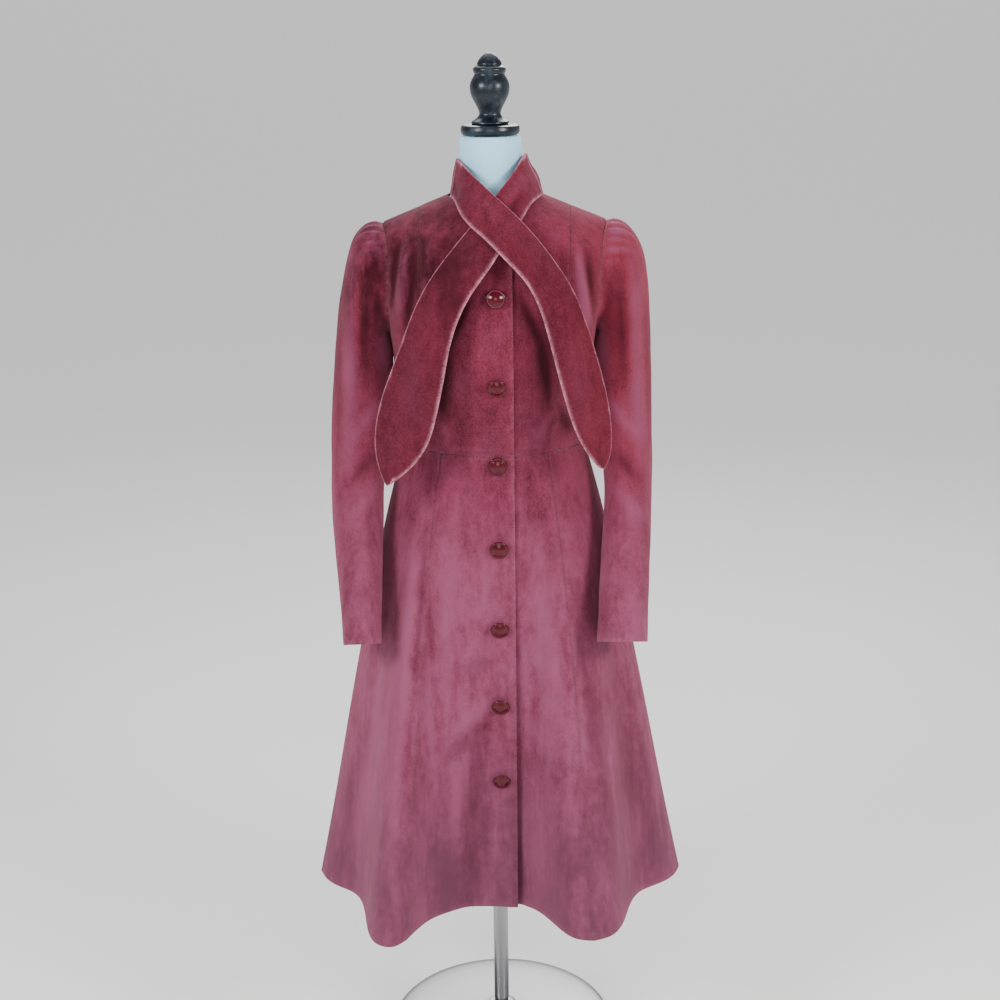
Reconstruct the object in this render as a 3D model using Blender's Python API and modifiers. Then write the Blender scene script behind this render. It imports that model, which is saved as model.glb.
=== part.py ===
"""A fitted and flared velvet coat with a crossed scarf collar, on a limbless dress form.

The coat faces -Y, +X is the wearer's left, +Z is up, and the origin is the middle of the stand's underside.
Every cloth piece is a thin wall over one of four smooth surfaces: the bodice, the skirt, a sleeve and the
collar. A piece is a grid of points between two seams of its surface, so two pieces that share a seam share
its points, less a small gap. Angles on the bodice and the skirt run round the body from the centre front,
positive towards +X, and reach 180 degrees at the centre back.
"""

import math
from collections import namedtuple
from types import SimpleNamespace

import bmesh
import bpy
import numpy as np

COLLECTION = "coat_on_dress_form"

# Cloth
WALL = 0.0020
SEAM_GAP = 0.0003
DOUBLE_WALL = 0.0040

# Heights above the floor
HEM = 0.300
WAIST = 1.040
UNDERARM = 1.206
NECKLINE_FRONT = 1.370
NECKLINE_BACK = 1.4185
NECKLINE_CURVE_FRONT, NECKLINE_CURVE_BACK = 0.60, 1.80
NECKLINE_RISE_IN_LAP = 0.003

# The shoulder seam runs straight from the neck point to the shoulder point, in the plane y = 0
NECK_POINT_X, NECK_POINT_Z = 0.0692, 1.4120
SHOULDER_POINT_X, SHOULDER_POINT_Z = 0.1645, 1.3735
SHOULDER_SLOPE = (NECK_POINT_Z - SHOULDER_POINT_Z) / (SHOULDER_POINT_X - NECK_POINT_X)
SHOULDER_ROUND_FRONT = 0.090
SHOULDER_ROUND_BACK = 0.070
SHOULDER_ROUNDNESS = 2.2
# The shoulders hang a little to the wearer's left of the waist, and so does the whole closure
SHOULDER_LEAN = 0.0048
LEAN_FROM, LEAN_TO = 1.180, 1.370

# The closure: each front runs past the centre by half the lap, and the right one lies over the left one
LAP = 0.024
LAP_GAP = 0.0020
LAP_EASE = 0.034
LAP_STAND_OFF_AT_HEM = 0.0070

# Seams, as x at the shoulder or degrees round the body
PRINCESS_SHOULDER_X = 0.1120
PRINCESS_WAIST_FRONT = 35.5
PRINCESS_HEM_FRONT = 27.5
PRINCESS_WAIST_BACK = 143.0
PRINCESS_HEM_BACK = 147.0

# The armhole is an egg round the side, this many degrees to the front and to the back of it
ARMHOLE_FRONT = 34.0
ARMHOLE_BACK = 32.0
ARMHOLE_LOW_SKEW = 0.25

# How finely the cloth is drawn
SIDE_SEAM_ROWS = 5
ARMHOLE_ROWS = 12
FRONT_EDGE_ROWS = 11
BACK_SEAM_ROWS = 13
BODICE_ROWS = SIDE_SEAM_ROWS + ARMHOLE_ROWS
FRONT_COLUMNS, SIDE_COLUMNS = 7, 4
SKIRT_ROWS = 9
SKIRT_COLUMNS = {"front": 8, "side_front": 10, "side_back": 8, "back": 7}

BodySection = namedtuple("BodySection", "height half_width front back squareness")
BODY_SECTIONS = [
    BodySection(1.040, 0.1375, 0.105, 0.095, 2.0),
    BodySection(1.085, 0.1400, 0.112, 0.096, 2.1),
    BodySection(1.140, 0.1490, 0.127, 0.100, 2.2),
    BodySection(1.190, 0.1522, 0.136, 0.105, 2.3),
    BodySection(1.225, 0.1568, 0.137, 0.109, 2.4),
    BodySection(1.270, 0.1690, 0.129, 0.112, 2.5),
    BodySection(1.310, 0.1760, 0.117, 0.112, 2.5),
    BodySection(1.350, 0.1810, 0.103, 0.107, 2.4),
    BodySection(1.390, 0.1850, 0.088, 0.098, 2.3),
    BodySection(1.440, 0.1850, 0.072, 0.084, 2.2),
]

PrincessRow = namedtuple("PrincessRow", "height front_x back_x")
PRINCESS_SEAM = [
    PrincessRow(1.100, 0.0880, 0.0840),
    PrincessRow(1.170, 0.0980, 0.0900),
    PrincessRow(1.230, 0.1045, 0.0960),
    PrincessRow(1.300, 0.1070, 0.1020),
    PrincessRow(1.350, 0.1085, 0.1070),
]

SkirtSection = namedtuple("SkirtSection", "height half_width front back")
SKIRT_SECTIONS = [
    SkirtSection(0.300, 0.2985, 0.116, 0.200),
    SkirtSection(0.425, 0.2720, 0.120, 0.182),
    SkirtSection(0.555, 0.2470, 0.122, 0.163),
    SkirtSection(0.700, 0.2185, 0.123, 0.144),
    SkirtSection(0.850, 0.1860, 0.121, 0.124),
    SkirtSection(0.930, 0.1680, 0.116, 0.112),
    SkirtSection(0.985, 0.1535, 0.110, 0.103),
    SkirtSection(1.040, 0.1375, 0.105, 0.095),
]

# Each flute grows from nothing at the waist: its place round the body at the waist and at the hem, its
# spread at the hem, how far it stands out there, the way it stands out, and how flat its ridge is
Flute = namedtuple("Flute", "waist_angle hem_angle spread out faces flatness growth")
FLUTES = [
    Flute(-43.0, -35.2, 10.0, 0.1400, -4.0, 3.0, 1.55),
    Flute(-26.0, -21.5, 9.0, 0.0380, 0.0, 2.0, 1.40),
    Flute(40.0, 28.3, 14.3, 0.1230, 3.0, 3.5, 1.55),
    Flute(-114.0, -112.0, 10.0, 0.0260, 180.0, 2.0, 1.50),
    Flute(114.0, 112.0, 10.0, 0.0260, 180.0, 2.0, 1.50),
    Flute(-136.0, -139.0, 11.0, 0.0750, -172.0, 2.4, 1.55),
    Flute(136.0, 139.0, 11.0, 0.0750, 172.0, 2.4, 1.55),
    Flute(-163.0, -168.0, 9.0, 0.0450, -176.0, 2.2, 1.50),
    Flute(163.0, 168.0, 9.0, 0.0450, 176.0, 2.2, 1.50),
]
FLUTE_WIDENING_AT_WAIST = 0.45

# A sleeve's rings from the puffed head to the cuff, by their outermost and innermost points seen from the
# front, their middle, half their depth and their lean seen from the side, and how far the gathers stand up
SleeveRing = namedtuple("SleeveRing", "outer_x outer_z inner_x inner_z middle_y half_depth lean gather")
SLEEVE_RIGHT = [
    SleeveRing(0.1760, 1.3735, 0.1560, 1.2095, 0.000, 0.0640, 0.0, 0.0012),
    SleeveRing(0.1890, 1.3695, 0.1580, 1.2060, 0.000, 0.0695, 0.0, 0.0015),
    SleeveRing(0.2036, 1.3540, 0.1585, 1.2010, 0.000, 0.0700, 0.0, 0.0012),
    SleeveRing(0.2130, 1.3270, 0.1585, 1.1950, 0.000, 0.0690, 0.0, 0.0007),
    SleeveRing(0.2230, 1.2890, 0.1580, 1.1850, 0.000, 0.0670, 0.0, 0.0003),
    SleeveRing(0.2340, 1.2340, 0.1548, 1.1650, 0.000, 0.0640, 0.0, 0.0),
    SleeveRing(0.2420, 1.1560, 0.1520, 1.1200, 0.000, 0.0610, 0.0, 0.0),
    SleeveRing(0.2480, 1.0780, 0.1590, 1.0620, -0.006, 0.0580, 5.0, 0.0),
    SleeveRing(0.2510, 0.9990, 0.1690, 0.9950, -0.018, 0.0550, 11.0, 0.0),
    SleeveRing(0.2495, 0.9290, 0.1705, 0.9300, -0.040, 0.0520, 18.0, 0.0),
    SleeveRing(0.2440, 0.8640, 0.1722, 0.8680, -0.068, 0.0500, 23.0, 0.0),
    SleeveRing(0.2370, 0.8120, 0.1735, 0.8160, -0.096, 0.0480, 24.5, 0.0),
    SleeveRing(0.2320, 0.7535, 0.1745, 0.7555, -0.127, 0.0470, 21.5, 0.0),
]
SLEEVE_LEFT = [
    SleeveRing(0.1820, 1.3735, 0.1560, 1.2095, 0.000, 0.0640, 0.0, 0.0012),
    SleeveRing(0.1985, 1.3690, 0.1580, 1.2060, 0.000, 0.0695, 0.0, 0.0015),
    SleeveRing(0.2155, 1.3510, 0.1585, 1.2010, 0.000, 0.0700, 0.0, 0.0012),
    SleeveRing(0.2270, 1.3240, 0.1585, 1.1950, 0.000, 0.0690, 0.0, 0.0007),
    SleeveRing(0.2325, 1.2880, 0.1580, 1.1850, 0.000, 0.0670, 0.0, 0.0003),
    SleeveRing(0.2370, 1.2310, 0.1548, 1.1650, 0.000, 0.0640, 0.0, 0.0),
    SleeveRing(0.2400, 1.1550, 0.1520, 1.1200, -0.002, 0.0600, 0.0, 0.0),
    SleeveRing(0.2410, 1.0750, 0.1590, 1.0600, -0.012, 0.0560, 7.0, 0.0),
    SleeveRing(0.2405, 0.9990, 0.1670, 0.9950, -0.030, 0.0520, 15.0, 0.0),
    SleeveRing(0.2375, 0.9320, 0.1650, 0.9330, -0.056, 0.0480, 21.0, 0.0),
    SleeveRing(0.2340, 0.8700, 0.1590, 0.8720, -0.086, 0.0450, 25.0, 0.0),
    SleeveRing(0.2300, 0.8160, 0.1540, 0.8180, -0.114, 0.0430, 25.0, 0.0),
    SleeveRing(0.2270, 0.7585, 0.1500, 0.7600, -0.141, 0.0420, 21.5, 0.0),
]
# The gathers fill the top of the armhole, this far to each side of the shoulder point in its length
GATHERED_FROM = 0.42

# The collar's surface: a ring at each height, outside the cloth, and how far to the wearer's left it sits
CollarSection = namedtuple("CollarSection", "height half_width front back left")
COLLAR_SECTIONS = [
    CollarSection(0.990, 0.300, 0.150, 0.070, 0.005),
    CollarSection(1.060, 0.300, 0.158, 0.070, 0.005),
    CollarSection(1.130, 0.300, 0.166, 0.070, 0.005),
    CollarSection(1.200, 0.300, 0.168, 0.070, 0.005),
    CollarSection(1.260, 0.280, 0.160, 0.070, 0.005),
    CollarSection(1.310, 0.230, 0.145, 0.070, 0.005),
    CollarSection(1.345, 0.165, 0.128, 0.070, 0.005),
    CollarSection(1.375, 0.108, 0.109, 0.069, 0.005),
    CollarSection(1.400, 0.076, 0.092, 0.067, 0.005),
    CollarSection(1.412, 0.0698, 0.086, 0.068, 0.0080),
    CollarSection(1.436, 0.0635, 0.071, 0.063, 0.0065),
    CollarSection(1.453, 0.0565, 0.064, 0.060, 0.0030),
    CollarSection(1.464, 0.0532, 0.061, 0.058, 0.0022),
    CollarSection(1.478, 0.0515, 0.058, 0.056, 0.0022),
]
# The stand's lower and upper edges, by the degrees round from the centre back, positive to the wearer's left
STAND_REACH = 104.0
StandEdge = namedtuple("StandEdge", "from_back base top")
STAND_EDGES = [
    StandEdge(-104.0, 1.4122, 1.4645),
    StandEdge(-90.0, 1.4135, 1.4632),
    StandEdge(-60.0, 1.4178, 1.4615),
    StandEdge(0.0, 1.4205, 1.4615),
    StandEdge(60.0, 1.4190, 1.4630),
    StandEdge(90.0, 1.4138, 1.4665),
    StandEdge(104.0, 1.4122, 1.4710),
]

# A tie from just past its seam with the stand to its tip, seen from the front: its upper and lower edges
TieStation = namedtuple("TieStation", "upper_x upper_z lower_x lower_z")
TIE_RIGHT = [
    TieStation(-0.0375, 1.4555, -0.0510, 1.4052),
    TieStation(-0.0252, 1.4453, -0.0450, 1.3930),
    TieStation(0.0016, 1.4226, -0.0291, 1.3775),
    TieStation(0.0280, 1.3995, -0.0080, 1.3620),
    TieStation(0.0600, 1.3680, 0.0180, 1.3360),
    TieStation(0.0930, 1.3270, 0.0440, 1.3110),
    TieStation(0.1183, 1.2876, 0.0620, 1.2820),
    TieStation(0.1369, 1.2359, 0.0755, 1.2420),
    TieStation(0.1513, 1.1865, 0.0870, 1.1940),
    TieStation(0.1650, 1.1350, 0.0990, 1.1480),
    TieStation(0.1712, 1.0850, 0.1130, 1.0970),
    TieStation(0.1700, 1.0480, 0.1310, 1.0590),
    TieStation(0.1600, 1.0290, 0.1500, 1.0330),
]
TIE_LEFT = [
    TieStation(0.0410, 1.4590, 0.0585, 1.4052),
    TieStation(0.0300, 1.4450, 0.0480, 1.3900),
    TieStation(0.0087, 1.4211, 0.0320, 1.3700),
    TieStation(-0.0110, 1.3980, 0.0180, 1.3530),
    TieStation(-0.0430, 1.3627, -0.0040, 1.3213),
    TieStation(-0.0785, 1.3218, -0.0240, 1.2970),
    TieStation(-0.1050, 1.2820, -0.0420, 1.2680),
    TieStation(-0.1235, 1.2360, -0.0590, 1.2280),
    TieStation(-0.1430, 1.1860, -0.0683, 1.1763),
    TieStation(-0.1640, 1.1350, -0.0800, 1.1240),
    TieStation(-0.1755, 1.0780, -0.0900, 1.0810),
    TieStation(-0.1725, 1.0400, -0.1100, 1.0450),
    TieStation(-0.1640, 1.0130, -0.1330, 1.0220),
    TieStation(-0.1590, 1.0040, -0.1520, 1.0070),
]
STAND_COLUMNS = 14
TIE_ROWS, TIE_COLUMNS = 18, 5
TIE_ROWS_CLOSER_AT_NECK = 1.3
TIE_CROWN = 0.0028
TIE_CLEARANCE = 0.0012
TIE_RISES_OVER = 0.10
TIE_CROSSING_LIFT = 0.0086

# Buttons
BUTTON_COUNT = 7
TOP_BUTTON = 1.2775
BUTTON_SPACING = 0.1252
BUTTON_RADIUS = 0.0140
BUTTON_DROOP = [4.0, 5.0, 8.0, 12.0, 15.0, 18.0, 20.0]
SHANK_RADIUS, SHANK_LENGTH = 0.0035, 0.0030

# The form
FORM_BOTTOM = 0.790
FORM_SHOULDER_CLEARANCE = 0.0004
FORM_BODY_CLEARANCE = 0.0060
ARM_PLATE_X = 0.1490
NECK_TOP = 1.4960
NECK_HALF_WIDTH, NECK_HALF_DEPTH = 0.0455, 0.0490
FORM_COLUMNS = 32
FORM_WAIST_ROOM, FORM_WAIST_ROOM_UP = 0.0060, 0.120
FORM_RIDGE_DEGREES, FORM_RIDGE_FROM, FORM_RIDGE_EASE = 4.0, 1.340, 0.030
NECK_FLARE, NECK_FLARE_FROM, NECK_FLARE_UP = 0.20, 1.405, 0.012
NECK_STARTS, NECK_BLEND = 1.400, 0.022
FORM_HEIGHTS = [
    *(0.790, 0.800, 0.850, 0.930, 0.995),
    *(1.040, 1.085, 1.130, 1.175, 1.215, 1.255, 1.290, 1.320, 1.345),
    *(1.362, 1.376, 1.386, 1.394, 1.400, 1.406, 1.412, 1.420, 1.435, 1.460, NECK_TOP),
]
HipSection = namedtuple("HipSection", "height half_width front back")
FORM_HIPS = [
    HipSection(0.790, 0.128, 0.092, 0.092),
    HipSection(0.800, 0.140, 0.100, 0.100),
    HipSection(0.850, 0.146, 0.104, 0.106),
    HipSection(0.930, 0.143, 0.101, 0.100),
    HipSection(1.040, 0.124, 0.092, 0.082),
]

# The turned cap and finial, as heights above the neck's top and radii
ProfilePoint = namedtuple("ProfilePoint", "rise radius")
CAP_PROFILE = [
    ProfilePoint(0.0156, 0.0395),
    ProfilePoint(0.0138, 0.0425),
    ProfilePoint(0.0096, 0.0439),
    ProfilePoint(0.0054, 0.0437),
    ProfilePoint(0.0018, 0.0420),
    ProfilePoint(0.0003, 0.0395),
]
FINIAL_PROFILE = [
    ProfilePoint(0.1166, 0.0000),
    ProfilePoint(0.1156, 0.0055),
    ProfilePoint(0.1114, 0.0112),
    ProfilePoint(0.1046, 0.0169),
    ProfilePoint(0.1000, 0.0185),
    ProfilePoint(0.0984, 0.0172),
    ProfilePoint(0.0966, 0.0222),
    ProfilePoint(0.0935, 0.0244),
    ProfilePoint(0.0890, 0.0238),
    ProfilePoint(0.0864, 0.0214),
    ProfilePoint(0.0763, 0.0281),
    ProfilePoint(0.0677, 0.0297),
    ProfilePoint(0.0583, 0.0284),
    ProfilePoint(0.0502, 0.0245),
    ProfilePoint(0.0407, 0.0193),
    ProfilePoint(0.0350, 0.0163),
    ProfilePoint(0.0298, 0.0156),
    ProfilePoint(0.0244, 0.0193),
    ProfilePoint(0.0212, 0.0248),
    ProfilePoint(0.0198, 0.0275),
    ProfilePoint(0.0176, 0.0279),
    ProfilePoint(0.0159, 0.0268),
]
BUTTON_PROFILE = [
    ProfilePoint(0.0066, 0.0000),
    ProfilePoint(0.0063, 0.0040),
    ProfilePoint(0.0053, 0.0078),
    ProfilePoint(0.0038, 0.0106),
    ProfilePoint(0.0037, 0.0124),
    ProfilePoint(0.0024, 0.0138),
    ProfilePoint(0.0008, 0.0136),
    ProfilePoint(0.0000, 0.0122),
]
CAP_STEPS, BUTTON_STEPS = 24, 14
POLE_RADIUS, POLE_SIDES = 0.0125, 20
BASE_RADIUS, BASE_THICKNESS = 0.185, 0.014
BASE_BOSS_RADIUS, BASE_BOSS_HEIGHT = 0.026, 0.030
BASE_CHAMFER, BASE_FILLET, BASE_RIM_RUN = 0.004, 0.008, 0.006

VELVET = (0.205, 0.026, 0.052)
VELVET_UNDER = (0.150, 0.018, 0.038)
BUTTON_COLOUR = (0.060, 0.004, 0.010)
JERSEY_COLOUR = (0.78, 0.82, 0.86)
LACQUER_COLOUR = (0.010, 0.011, 0.012)
STEEL_COLOUR = (0.35, 0.35, 0.36)


def smooth_curve(knots, values):
    """A curve through the values that never swings past them (a monotone cubic)."""
    knots, values = np.asarray(knots, float), np.asarray(values, float)
    steps = np.diff(knots)
    slopes = np.diff(values) / steps
    tangents = np.concatenate([slopes[:1], np.zeros(len(slopes) - 1), slopes[-1:]])
    for i in range(1, len(slopes)):
        before, after = slopes[i - 1], slopes[i]
        if before * after > 0:
            tangents[i] = 2 * before * after / (before + after)

    def at(place):
        place = np.clip(place, knots[0], knots[-1])
        i = np.clip(np.searchsorted(knots, place) - 1, 0, len(steps) - 1)
        u = (place - knots[i]) / steps[i]
        ends = values[i] * (1 - u) ** 2 * (1 + 2 * u) + values[i + 1] * u**2 * (3 - 2 * u)
        turns = tangents[i] * u * (1 - u) ** 2 - tangents[i + 1] * u**2 * (1 - u)
        return ends + steps[i] * turns

    return at


def curves_of(table):
    """One smooth curve for each column after the first, over the first column."""
    names = table[0]._fields
    knots = [row[0] for row in table]
    curves = {name: smooth_curve(knots, [row[i] for row in table]) for i, name in enumerate(names) if i}
    return SimpleNamespace(**curves)


def ease(value):
    """From 0 to 1 with flat ends."""
    value = np.clip(value, 0, 1)
    return value * value * (3 - 2 * value)


def mix(low, high, share):
    """The value between two others."""
    return low + (high - low) * share


def unit(vectors):
    """The vectors at length 1."""
    return vectors / np.linalg.norm(vectors, axis=-1, keepdims=True)


BODY = curves_of(BODY_SECTIONS)
SKIRT = curves_of(SKIRT_SECTIONS)
COLLAR = curves_of(COLLAR_SECTIONS)
STAND = curves_of(STAND_EDGES)
HIPS = curves_of(FORM_HIPS)


def shoulder_line(x):
    """The height of the shoulder seam's line over x."""
    return NECK_POINT_Z - SHOULDER_SLOPE * (np.abs(x) - NECK_POINT_X)


def lean_at(z):
    """How far the bodice hangs to the wearer's left at a height."""
    return SHOULDER_LEAN * ease((z - LEAN_FROM) / (LEAN_TO - LEAN_FROM))


def body_depth(x, z, behind):
    """How far the bodice's surface lies from the plane y = 0, in front of it or behind it."""
    power = BODY.squareness(z)
    share = np.clip(np.abs(x) / BODY.half_width(z), 0, 1)
    across = (1 - share**power) ** (1 / power)
    rounding = np.where(behind, SHOULDER_ROUND_BACK, SHOULDER_ROUND_FRONT)
    rise = np.clip((z - shoulder_line(x)) / rounding + 1, 0, 1)
    over = (1 - rise**SHOULDER_ROUNDNESS) ** (1 / SHOULDER_ROUNDNESS)
    return np.where(behind, BODY.back(z), BODY.front(z)) * across * over


def bodice_point(angle, z):
    """The bodice's surface: the point at a height, this many degrees round the body."""
    angle, z = np.broadcast_arrays(np.radians(angle), np.asarray(z, float))
    behind = np.cos(angle) < 0
    sideways = BODY.half_width(z) * np.sin(angle)
    forward = np.where(behind, BODY.back(z), BODY.front(z)) * np.cos(angle)
    near, far = np.zeros_like(z), np.full_like(z, 1.4)
    for _ in range(42):
        middle = (near + far) / 2
        inside = body_depth(middle * sideways, z, behind) > middle * np.abs(forward)
        near, far = np.where(inside, middle, near), np.where(inside, far, middle)
    return np.stack([near * sideways + lean_at(z), -near * forward, z], axis=-1)


def bodice_angle(x, z, behind):
    """The angle at which the bodice's surface passes over x at a height."""
    reach = np.where(behind, BODY.back(z), BODY.front(z))
    across = np.degrees(np.arctan2(np.abs(x) / BODY.half_width(z), body_depth(x, z, behind) / reach))
    return np.where(behind, 180 - across, across) * np.where(np.asarray(x) < 0, -1, 1)


def flare(z):
    """From 0 at the waist to 1 at the hem."""
    return np.clip((WAIST - z) / (WAIST - HEM), 0, 1)


def skirt_point(angle, z):
    """The skirt's surface: an ellipse at each height, with the flutes standing out of it."""
    angle, z = np.broadcast_arrays(np.asarray(angle, float), np.asarray(z, float))
    turn = np.radians(angle)
    reach = np.where(np.cos(turn) < 0, SKIRT.back(z), SKIRT.front(z))
    x = SKIRT.half_width(z) * np.sin(turn)
    y = -reach * np.cos(turn)
    down = flare(z)
    for flute in FLUTES:
        centre = mix(flute.waist_angle, flute.hem_angle, down)
        spread = flute.spread * (1 + FLUTE_WIDENING_AT_WAIST * (1 - down))
        away = np.abs((angle - centre + 180) % 360 - 180) / spread
        out = flute.out * down**flute.growth * np.exp(-(away**flute.flatness))
        x = x + out * math.sin(math.radians(flute.faces))
        y = y - out * math.cos(math.radians(flute.faces))
    return np.stack([x, y, z], axis=-1)


def outward(surface, angle, z):
    """The surface's normal, pointing away from the body."""
    turn_step, rise_step = 0.02, 0.0002
    round_body = surface(angle + turn_step, z) - surface(angle - turn_step, z)
    up_body = surface(angle, z + rise_step) - surface(angle, z - rise_step)
    return unit(np.cross(round_body, up_body))


def grid_normals(points, closed):
    """The normals of a grid of points, by the differences between its neighbours."""
    along = np.gradient(points, axis=0)
    if closed:
        across = np.roll(points, -1, axis=1) - np.roll(points, 1, axis=1)
    else:
        across = np.gradient(points, axis=1)
    return unit(np.cross(across, along))


def evenly_along(line, count):
    """Places from 0 to 1 that cut a line of the surface into equal lengths."""
    places = np.linspace(0, 1, 400)
    points = line(places)
    lengths = np.concatenate([[0], np.cumsum(np.linalg.norm(np.diff(points, axis=0), axis=1))])
    return np.interp(np.linspace(0, lengths[-1], count + 1), lengths, places)


def drawn_in(points, side, amount):
    """How one side of a grid moves so that it stops short of its seam."""
    edge, inner = {
        "first_row": (points[0], points[1]),
        "last_row": (points[-1], points[-2]),
        "first_column": (points[:, 0], points[:, 1]),
        "last_column": (points[:, -1], points[:, -2]),
    }[side]
    along = unit(np.gradient(edge, axis=0))
    inward = inner - edge
    inward = inward - (inward * along).sum(axis=1, keepdims=True) * along
    return unit(inward) * amount


def cut_short(outer, inner, sides):
    """Leaves half a seam's gap on the named sides of a wall's two grids."""
    for side in sides:
        move = drawn_in(outer, side, SEAM_GAP / 2)
        for grid in (outer, inner):
            if side == "first_row":
                grid[0] += move
            elif side == "last_row":
                grid[-1] += move
            elif side == "first_column":
                grid[:, 0] += move
            else:
                grid[:, -1] += move


def wall_mesh(name, outer, inner, closed=False):
    """A closed mesh from a wall's outer and inner grids of points."""
    rows, columns = outer.shape[:2]
    shape = bmesh.new()
    skins = [[[shape.verts.new(point) for point in row] for row in grid] for grid in (outer, inner)]
    last = columns if closed else columns - 1
    for i in range(rows - 1):
        for j in range(last):
            k = (j + 1) % columns
            for skin, corners in zip(skins, ([0, 1, 2, 3], [0, 3, 2, 1])):
                loop = [skin[i][j], skin[i][k], skin[i + 1][k], skin[i + 1][j]]
                shape.faces.new([loop[corner] for corner in corners])
    front, back = skins
    for j in range(last):
        k = (j + 1) % columns
        shape.faces.new([front[0][j], back[0][j], back[0][k], front[0][k]])
        shape.faces.new([front[-1][j], front[-1][k], back[-1][k], back[-1][j]])
    if not closed:
        for i in range(rows - 1):
            shape.faces.new([front[i][0], front[i + 1][0], back[i + 1][0], back[i][0]])
            shape.faces.new([front[i][-1], back[i][-1], back[i + 1][-1], front[i + 1][-1]])
    bmesh.ops.triangulate(shape, faces=shape.faces[:], quad_method="FIXED")
    bmesh.ops.recalc_face_normals(shape, faces=shape.faces[:])
    mesh = bpy.data.meshes.new(name)
    shape.to_mesh(mesh)
    shape.free()
    mesh.shade_smooth()
    mesh.set_sharp_from_angle(angle=math.radians(50))
    return mesh


def add_object(name, mesh, material):
    """Puts a mesh in the collection as a named object."""
    thing = bpy.data.objects.new(name, mesh)
    mesh.materials.append(material)
    bpy.data.collections[COLLECTION].objects.link(thing)
    return thing


def finish(name, colour, roughness, metallic=0.0):
    """A plain Principled material."""
    material = bpy.data.materials.new(name)
    material.use_nodes = True
    shader = material.node_tree.nodes["Principled BSDF"]
    shader.inputs["Base Color"].default_value = (*colour, 1)
    shader.inputs["Roughness"].default_value = roughness
    shader.inputs["Metallic"].default_value = metallic
    return material


def side_name(sign):
    """The wearer's side."""
    return "left" if sign > 0 else "right"


def even_places(line, count):
    """The angles and heights of a bodice line's evenly spaced points."""
    places = evenly_along(lambda place: bodice_point(*line(place)), count)
    return np.stack(line(places))


def princess_seam(behind):
    """The seam from the waist over the bust, or the shoulder blade, to the middle of the shoulder."""
    low = PRINCESS_WAIST_BACK if behind else PRINCESS_WAIST_FRONT
    top = shoulder_line(PRINCESS_SHOULDER_X)
    waist = [bodice_point(angle, WAIST)[0] for angle in (PRINCESS_WAIST_FRONT, PRINCESS_WAIST_BACK)]
    ends = [PrincessRow(WAIST, *waist), PrincessRow(top, PRINCESS_SHOULDER_X, PRINCESS_SHOULDER_X)]
    table = curves_of([ends[0], *PRINCESS_SEAM, ends[1]])
    x_at = table.back_x if behind else table.front_x

    def line(place):
        z = WAIST + (top - WAIST) * (1 - (1 - place) ** 2)
        angle = bodice_angle(x_at(z), z, behind)
        angle = np.where(place >= 1, 90.0, angle)
        return np.where(place <= 0, low, angle), z

    return even_places(line, BODICE_ROWS)


def armhole(behind):
    """The armhole's front or back half, from the underarm to the shoulder point."""
    reach = ARMHOLE_BACK if behind else ARMHOLE_FRONT

    def line(place):
        turn = math.pi * place
        away = reach * np.sin(turn - ARMHOLE_LOW_SKEW * np.sin(turn))
        z = mix(UNDERARM, SHOULDER_POINT_Z, (1 - np.cos(turn)) / 2)
        return (90 + away if behind else 90 - away), z

    return even_places(line, ARMHOLE_ROWS)


def side_edge(behind):
    """The side seam and then the armhole."""
    heights = np.linspace(WAIST, UNDERARM, SIDE_SEAM_ROWS + 1)[:-1]
    seam = np.stack([np.full(SIDE_SEAM_ROWS, 90.0), heights])
    return np.concatenate([seam, armhole(behind)], axis=1)


def front_edge(sign):
    """A front's free edge, past the closure's middle by half the lap, and then the neckline to the neck point."""
    straight_z = np.linspace(WAIST, NECKLINE_FRONT + NECKLINE_RISE_IN_LAP, FRONT_EDGE_ROWS + 1)[:-1]
    past = LAP - sign * (SHOULDER_LEAN - lean_at(straight_z))
    straight = np.stack([-bodice_angle(past, straight_z, False), straight_z])

    def neckline(place):
        x = mix(-LAP, NECK_POINT_X, place)
        share = np.clip(x, 0, None) / NECK_POINT_X
        rise = (NECK_POINT_Z - NECKLINE_FRONT) * share**NECKLINE_CURVE_FRONT
        z = NECKLINE_FRONT + rise + NECKLINE_RISE_IN_LAP * (x < 0) * (x / LAP) ** 2
        return np.where(place >= 1, 90.0, bodice_angle(x, z, False)), z

    return np.concatenate([straight, even_places(neckline, BODICE_ROWS - FRONT_EDGE_ROWS)], axis=1)


def back_edge():
    """The centre-back seam and then the neckline to the neck point."""
    seam = even_places(lambda place: (180.0 + 0 * place, mix(WAIST, NECKLINE_BACK, place)), BACK_SEAM_ROWS)

    def neckline(place):
        x = mix(0, NECK_POINT_X, place)
        z = mix(NECKLINE_BACK, NECK_POINT_Z, (x / NECK_POINT_X) ** NECKLINE_CURVE_BACK)
        return np.where(place >= 1, 90.0, bodice_angle(x, z, True)), z

    return np.concatenate([seam[:, :-1], even_places(neckline, BODICE_ROWS - BACK_SEAM_ROWS)], axis=1)


def lap_lift(x, z):
    """How far the upper front stands off its surface, to lie over the under front."""
    past = x - SHOULDER_LEAN + LAP
    over = ease((past + LAP_EASE) / LAP_EASE)
    towards_edge = ease(past / (2 * LAP))
    return (WALL + LAP_GAP) * over + LAP_STAND_OFF_AT_HEM * towards_edge * flare(z) ** 2


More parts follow.
